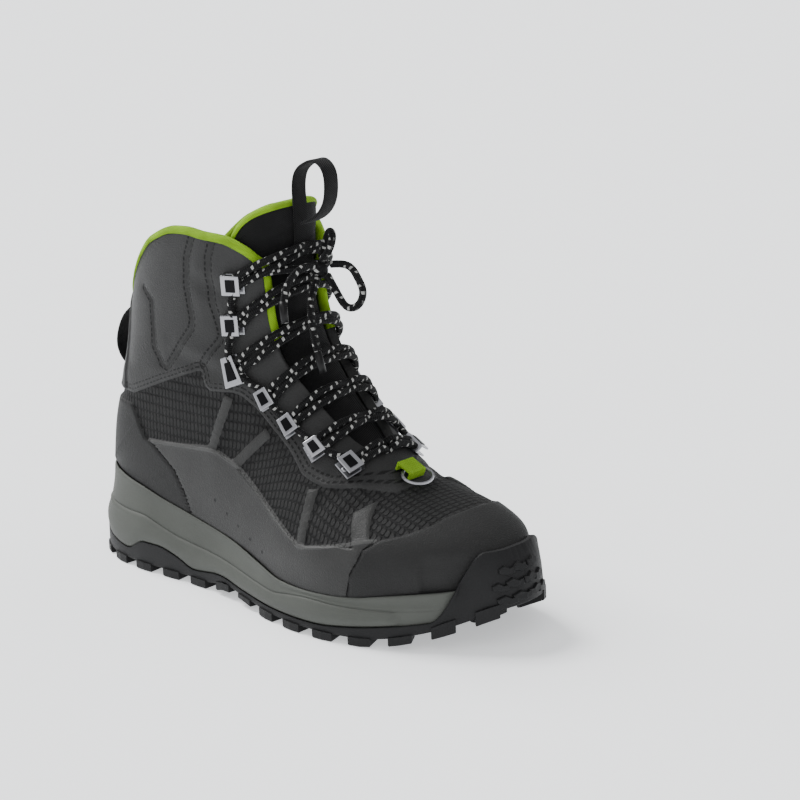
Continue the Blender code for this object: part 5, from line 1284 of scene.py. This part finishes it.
def laceMaterial():
    # black round lace, braided, with paired white flecks, and painted highlight on the braid's strands and
    # painted shade in its grooves
    look = Look("laceLook", (0.006, 0.006, 0.0065), 0.8, Sheen_Weight=0.03, Specular_IOR_Level=0.12)
    u, v = look.plan()
    turn = look.math("MULTIPLY", v, 2 * math.pi)
    run = look.math("MULTIPLY", u, 2 * math.pi / 0.0024)
    twist = look.math("MULTIPLY", turn, 3.0)
    over = look.math("SINE", look.math("ADD", run, twist))
    under = look.math("SINE", look.math("SUBTRACT", run, twist))
    braid = look.math("MULTIPLY", over, under)
    pitch = 2 * math.pi / lace["fleckPitch"]
    dash = look.ramp(look.math("SINE", look.math("MULTIPLY", u, pitch)), 0.35, 0.60)
    spin = look.math("ADD", look.math("MULTIPLY", u, pitch / 3.4), look.math("MULTIPLY", turn, 2.0))
    fleck = look.math("MULTIPLY", dash, look.ramp(look.math("SINE", spin), 0.35, 0.60))
    # painted highlight and shade: the colour follows the braid's relief, darker in the grooves and lighter on
    # the raised strands
    colour = look.blend(look.ramp(braid, -0.5, 0.5), (0.0025, 0.0025, 0.0027), (0.0090, 0.0090, 0.0095))
    colour = look.blend(fleck, colour, (0.34, 0.34, 0.33))
    return look.finish(colour, None, look.bump(braid, 0.0003))


# webbing loops: side-view line in shares of length and shaft height
webbing = {
    "pull": [(0.5165, 0.935), (0.5165, 0.985), (0.5170, 1.045), (0.5160, 1.100), (0.5250, 1.145),
             (0.5480, 1.170), (0.5720, 1.178), (0.5900, 1.160), (0.5960, 1.115), (0.5900, 1.072),
             (0.5680, 1.034), (0.5330, 1.010)],
    "heel": [(0.0820, 0.700), (0.0530, 0.668), (0.0340, 0.620), (0.0290, 0.575), (0.0400, 0.543),
             (0.0650, 0.532)],
    "heelRows": (14.40, 14.20, 12.97, 12.85), "pullWide": 0.010, "heelWide": 0.018, "pullThick": 0.0016,
    "heelThick": 0.0018,
    # half-round edges of the band, in shares of its width and thickness
    "section": [(-0.5, -0.30), (-0.46, -0.5), (0.46, -0.5), (0.5, -0.30), (0.5, 0.30), (0.46, 0.5),
                (0.0, 0.46), (-0.46, 0.5), (-0.5, 0.30)],
}


def heelLoopLine():
    lift = 2 * boot["overlay"] + 3.6 * boot["fit"] + webbing["heelThick"] / 2
    ends = []
    for t in webbing["heelRows"]:
        p, ahead = seamAtBack(t), seamAtBack(t + 0.1) - seamAtBack(t - 0.1)
        p = p + np.array([-ahead[2], 0, ahead[0]]) / np.linalg.norm(ahead) * lift
        ends.append((p[0] / length, p[2] / shaftHeight))
    return ends[:2] + webbing["heel"] + ends[2:]


def buildBand(name, path, wide, thick, look, replaced):
    points = np.array([(x * length, z * shaftHeight) for x, z in path])
    d = travel(points)
    points = smoothLine(d, points)(np.linspace(0, d[-1], 90))
    way = np.gradient(points, axis=0)
    way /= np.linalg.norm(way, axis=1)[:, None]
    normal = np.c_[-way[:, 1], way[:, 0]]
    section = webbing["section"]
    verts, rings, faces = [], [], []
    for p, n in zip(points, normal):
        rings.append(list(range(len(verts), len(verts) + len(section))))
        for y, k in section:
            q = p + n * thick * k
            verts.append((q[0], y * wide, q[1]))
    for a, b in zip(rings, rings[1:]):
        faces += stripFaces(a, b, closed=True)
    faces += [tuple(rings[0][::-1]), tuple(rings[-1])]
    piece = faceOut(makeMesh(name, verts, faces, look))
    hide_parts(replaced)
    return piece


# camera and light, as in the photograph
# turn, rise and roll in degrees; focal length in millimetres on a 36 mm wide sensor
cameraPlace = {
    "turn": 44.3, "rise": 15.5, "distance": 1.360, "focal": 108, "shift": (0.0602, 0.0170), "roll": -2.3,
    "aim": (0.150, 0.0, 0.090),
}
lights = [
    # name, way to the light, strength, width in degrees: broad suns keep the floor even
    ("softKey", (-0.75, -0.05, 0.95), 5.0, 28),
    ("softFill", (0.60, -1.00, 0.90), 0.9, 60),
]
stage = {
    "floor": (0.78, 0.79, 0.80), "glow": (0.90, 0.915, 0.93), "glowStrength": 0.62, "size": 40.0,
    "below": 0.00002,
    "world": (0.92, 0.93, 0.94), "worldStrength": 0.70,
}


def buildCamera():
    turn, rise, roll = (math.radians(cameraPlace[k]) for k in ("turn", "rise", "roll"))
    back = np.array([math.sin(turn) * math.cos(rise), -math.cos(turn) * math.cos(rise), math.sin(rise)])
    right = np.array([math.cos(turn), math.sin(turn), 0])
    up = np.cross(back, right)
    right, up = right * math.cos(roll) + up * math.sin(roll), up * math.cos(roll) - right * math.sin(roll)
    across, high = cameraPlace["shift"]
    centre = np.array(cameraPlace["aim"]) - origin + back * cameraPlace["distance"]
    centre = centre + right * across + up * high
    data = bpy.data.cameras.new("camera")
    data.lens, data.sensor_width, data.sensor_fit = cameraPlace["focal"], 36, "AUTO"
    data.clip_start, data.clip_end = 0.05, 30
    camera = bpy.data.objects.new("camera", data)
    camera.matrix_world = Matrix([(right[i], up[i], back[i], centre[i]) for i in range(3)] + [(0, 0, 0, 1)])
    bpy.context.scene.collection.objects.link(camera)
    bpy.context.scene.camera = camera


def buildStage():
    look = Look("floorLook", stage["floor"], 0.9, Specular_IOR_Level=0.1)
    look.shader.inputs["Emission Color"].default_value = (*stage["glow"], 1)
    look.shader.inputs["Emission Strength"].default_value = stage["glowStrength"]
    grain = look.noise(12, 2)
    shade = look.blend(look.ramp(grain, 0.2, 0.8), tuple(c * 0.99 for c in stage["floor"]), stage["floor"])
    mesh = bpy.data.meshes.new("floor")
    far = stage["size"]
    corners = [(x * far, y * far, -stage["below"]) for x, y in ((-1, -1), (1, -1), (1, 1), (-1, 1))]
    mesh.from_pydata(corners, [], [(0, 1, 2, 3)])
    mesh.materials.append(look.finish(shade))
    floor = bpy.data.objects.new("floor", mesh)
    bpy.context.scene.collection.objects.link(floor)
    world = bpy.data.worlds.new("studio")
    world.use_nodes = True
    world.node_tree.nodes["Background"].inputs["Color"].default_value = (*stage["world"], 1)
    world.node_tree.nodes["Background"].inputs["Strength"].default_value = stage["worldStrength"]
    bpy.context.scene.world = world
    for name, way, power, wide in lights:
        data = bpy.data.lights.new(name, "SUN")
        data.energy, data.angle = power, math.radians(wide)
        light = bpy.data.objects.new(name, data)
        light.rotation_mode = "QUATERNION"
        light.rotation_quaternion = Vector(way).to_track_quat("Z", "Y")
        bpy.context.scene.collection.objects.link(light)


buildCamera()
buildStage()
print("camera and stage")
buildUpper(upperMaterial(), fabricMaterial("liningCloth", upperLook["lining"], 0.0016, 0.0003, 0.85, 0.03))
print("upper")
rubber = rubberMaterial("outsoleRubber", (0.0085, 0.0085, 0.0090), 0.60, 0.00012, 0.10)
buildMidsole(rubberMaterial("midsoleFoam", (0.066, 0.070, 0.063), 0.62, 0.00010, 0.06))
buildOutsole(rubber)
buildToeLugs(rubber)
print("sole")
padCloth = fabricMaterial("tongueCloth", (0.0085, 0.0085, 0.0090), 0.0011, 0.00025, 0.85, 0.05)
buildTongue(padCloth)
green = fabricMaterial("greenEdging", (0.215, 0.400, 0.012), 0.0012, 0.0002, 0.8, 0.02)
edging("collarEdging", collarEdge(), 0.0036, -0.0028, 0.0034, green, "collar_binding")
edging("tongueEdging", tongueEdge(), 0.0026, -0.0062, 0.0008, green, "tongue_binding")
web = fabricMaterial("blackWebbing", (0.0065, 0.0065, 0.0070), 0.0013, 0.00035, 0.85, 0.05)
buildBand("pullLoop", webbing["pull"], webbing["pullWide"], webbing["pullThick"], web, "pull_loop")
buildBand("heelLoop", heelLoopLine(), webbing["heelWide"], webbing["heelThick"], web, "heel_loop")
print("tongue, edgings and webbing")
silver = metalMaterial("silverMetal", (0.32, 0.32, 0.34), 0.34)
blackMetal = metalMaterial("blackMetal", (0.010, 0.010, 0.011), 0.42)
buildFittings(silver, blackMetal)
laceLook = laceMaterial()
buildLace(laceLook, rubberMaterial("laceTip", (0.004, 0.004, 0.0042), 0.35, 0.00002, 0.05))
print("fittings and lace")
# pieces of the frame that are shown as they are
insoleLook = fabricMaterial("insoleCloth", (0.009, 0.009, 0.009), 0.0014, 0.0003, 0.85, 0.05)
shown = {"insole": insoleLook, "lace_keeper": green, "keeper_ring": silver}
for node, look in shown.items():
    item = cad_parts[node]
    item.data.materials.clear()
    item.data.materials.append(look)
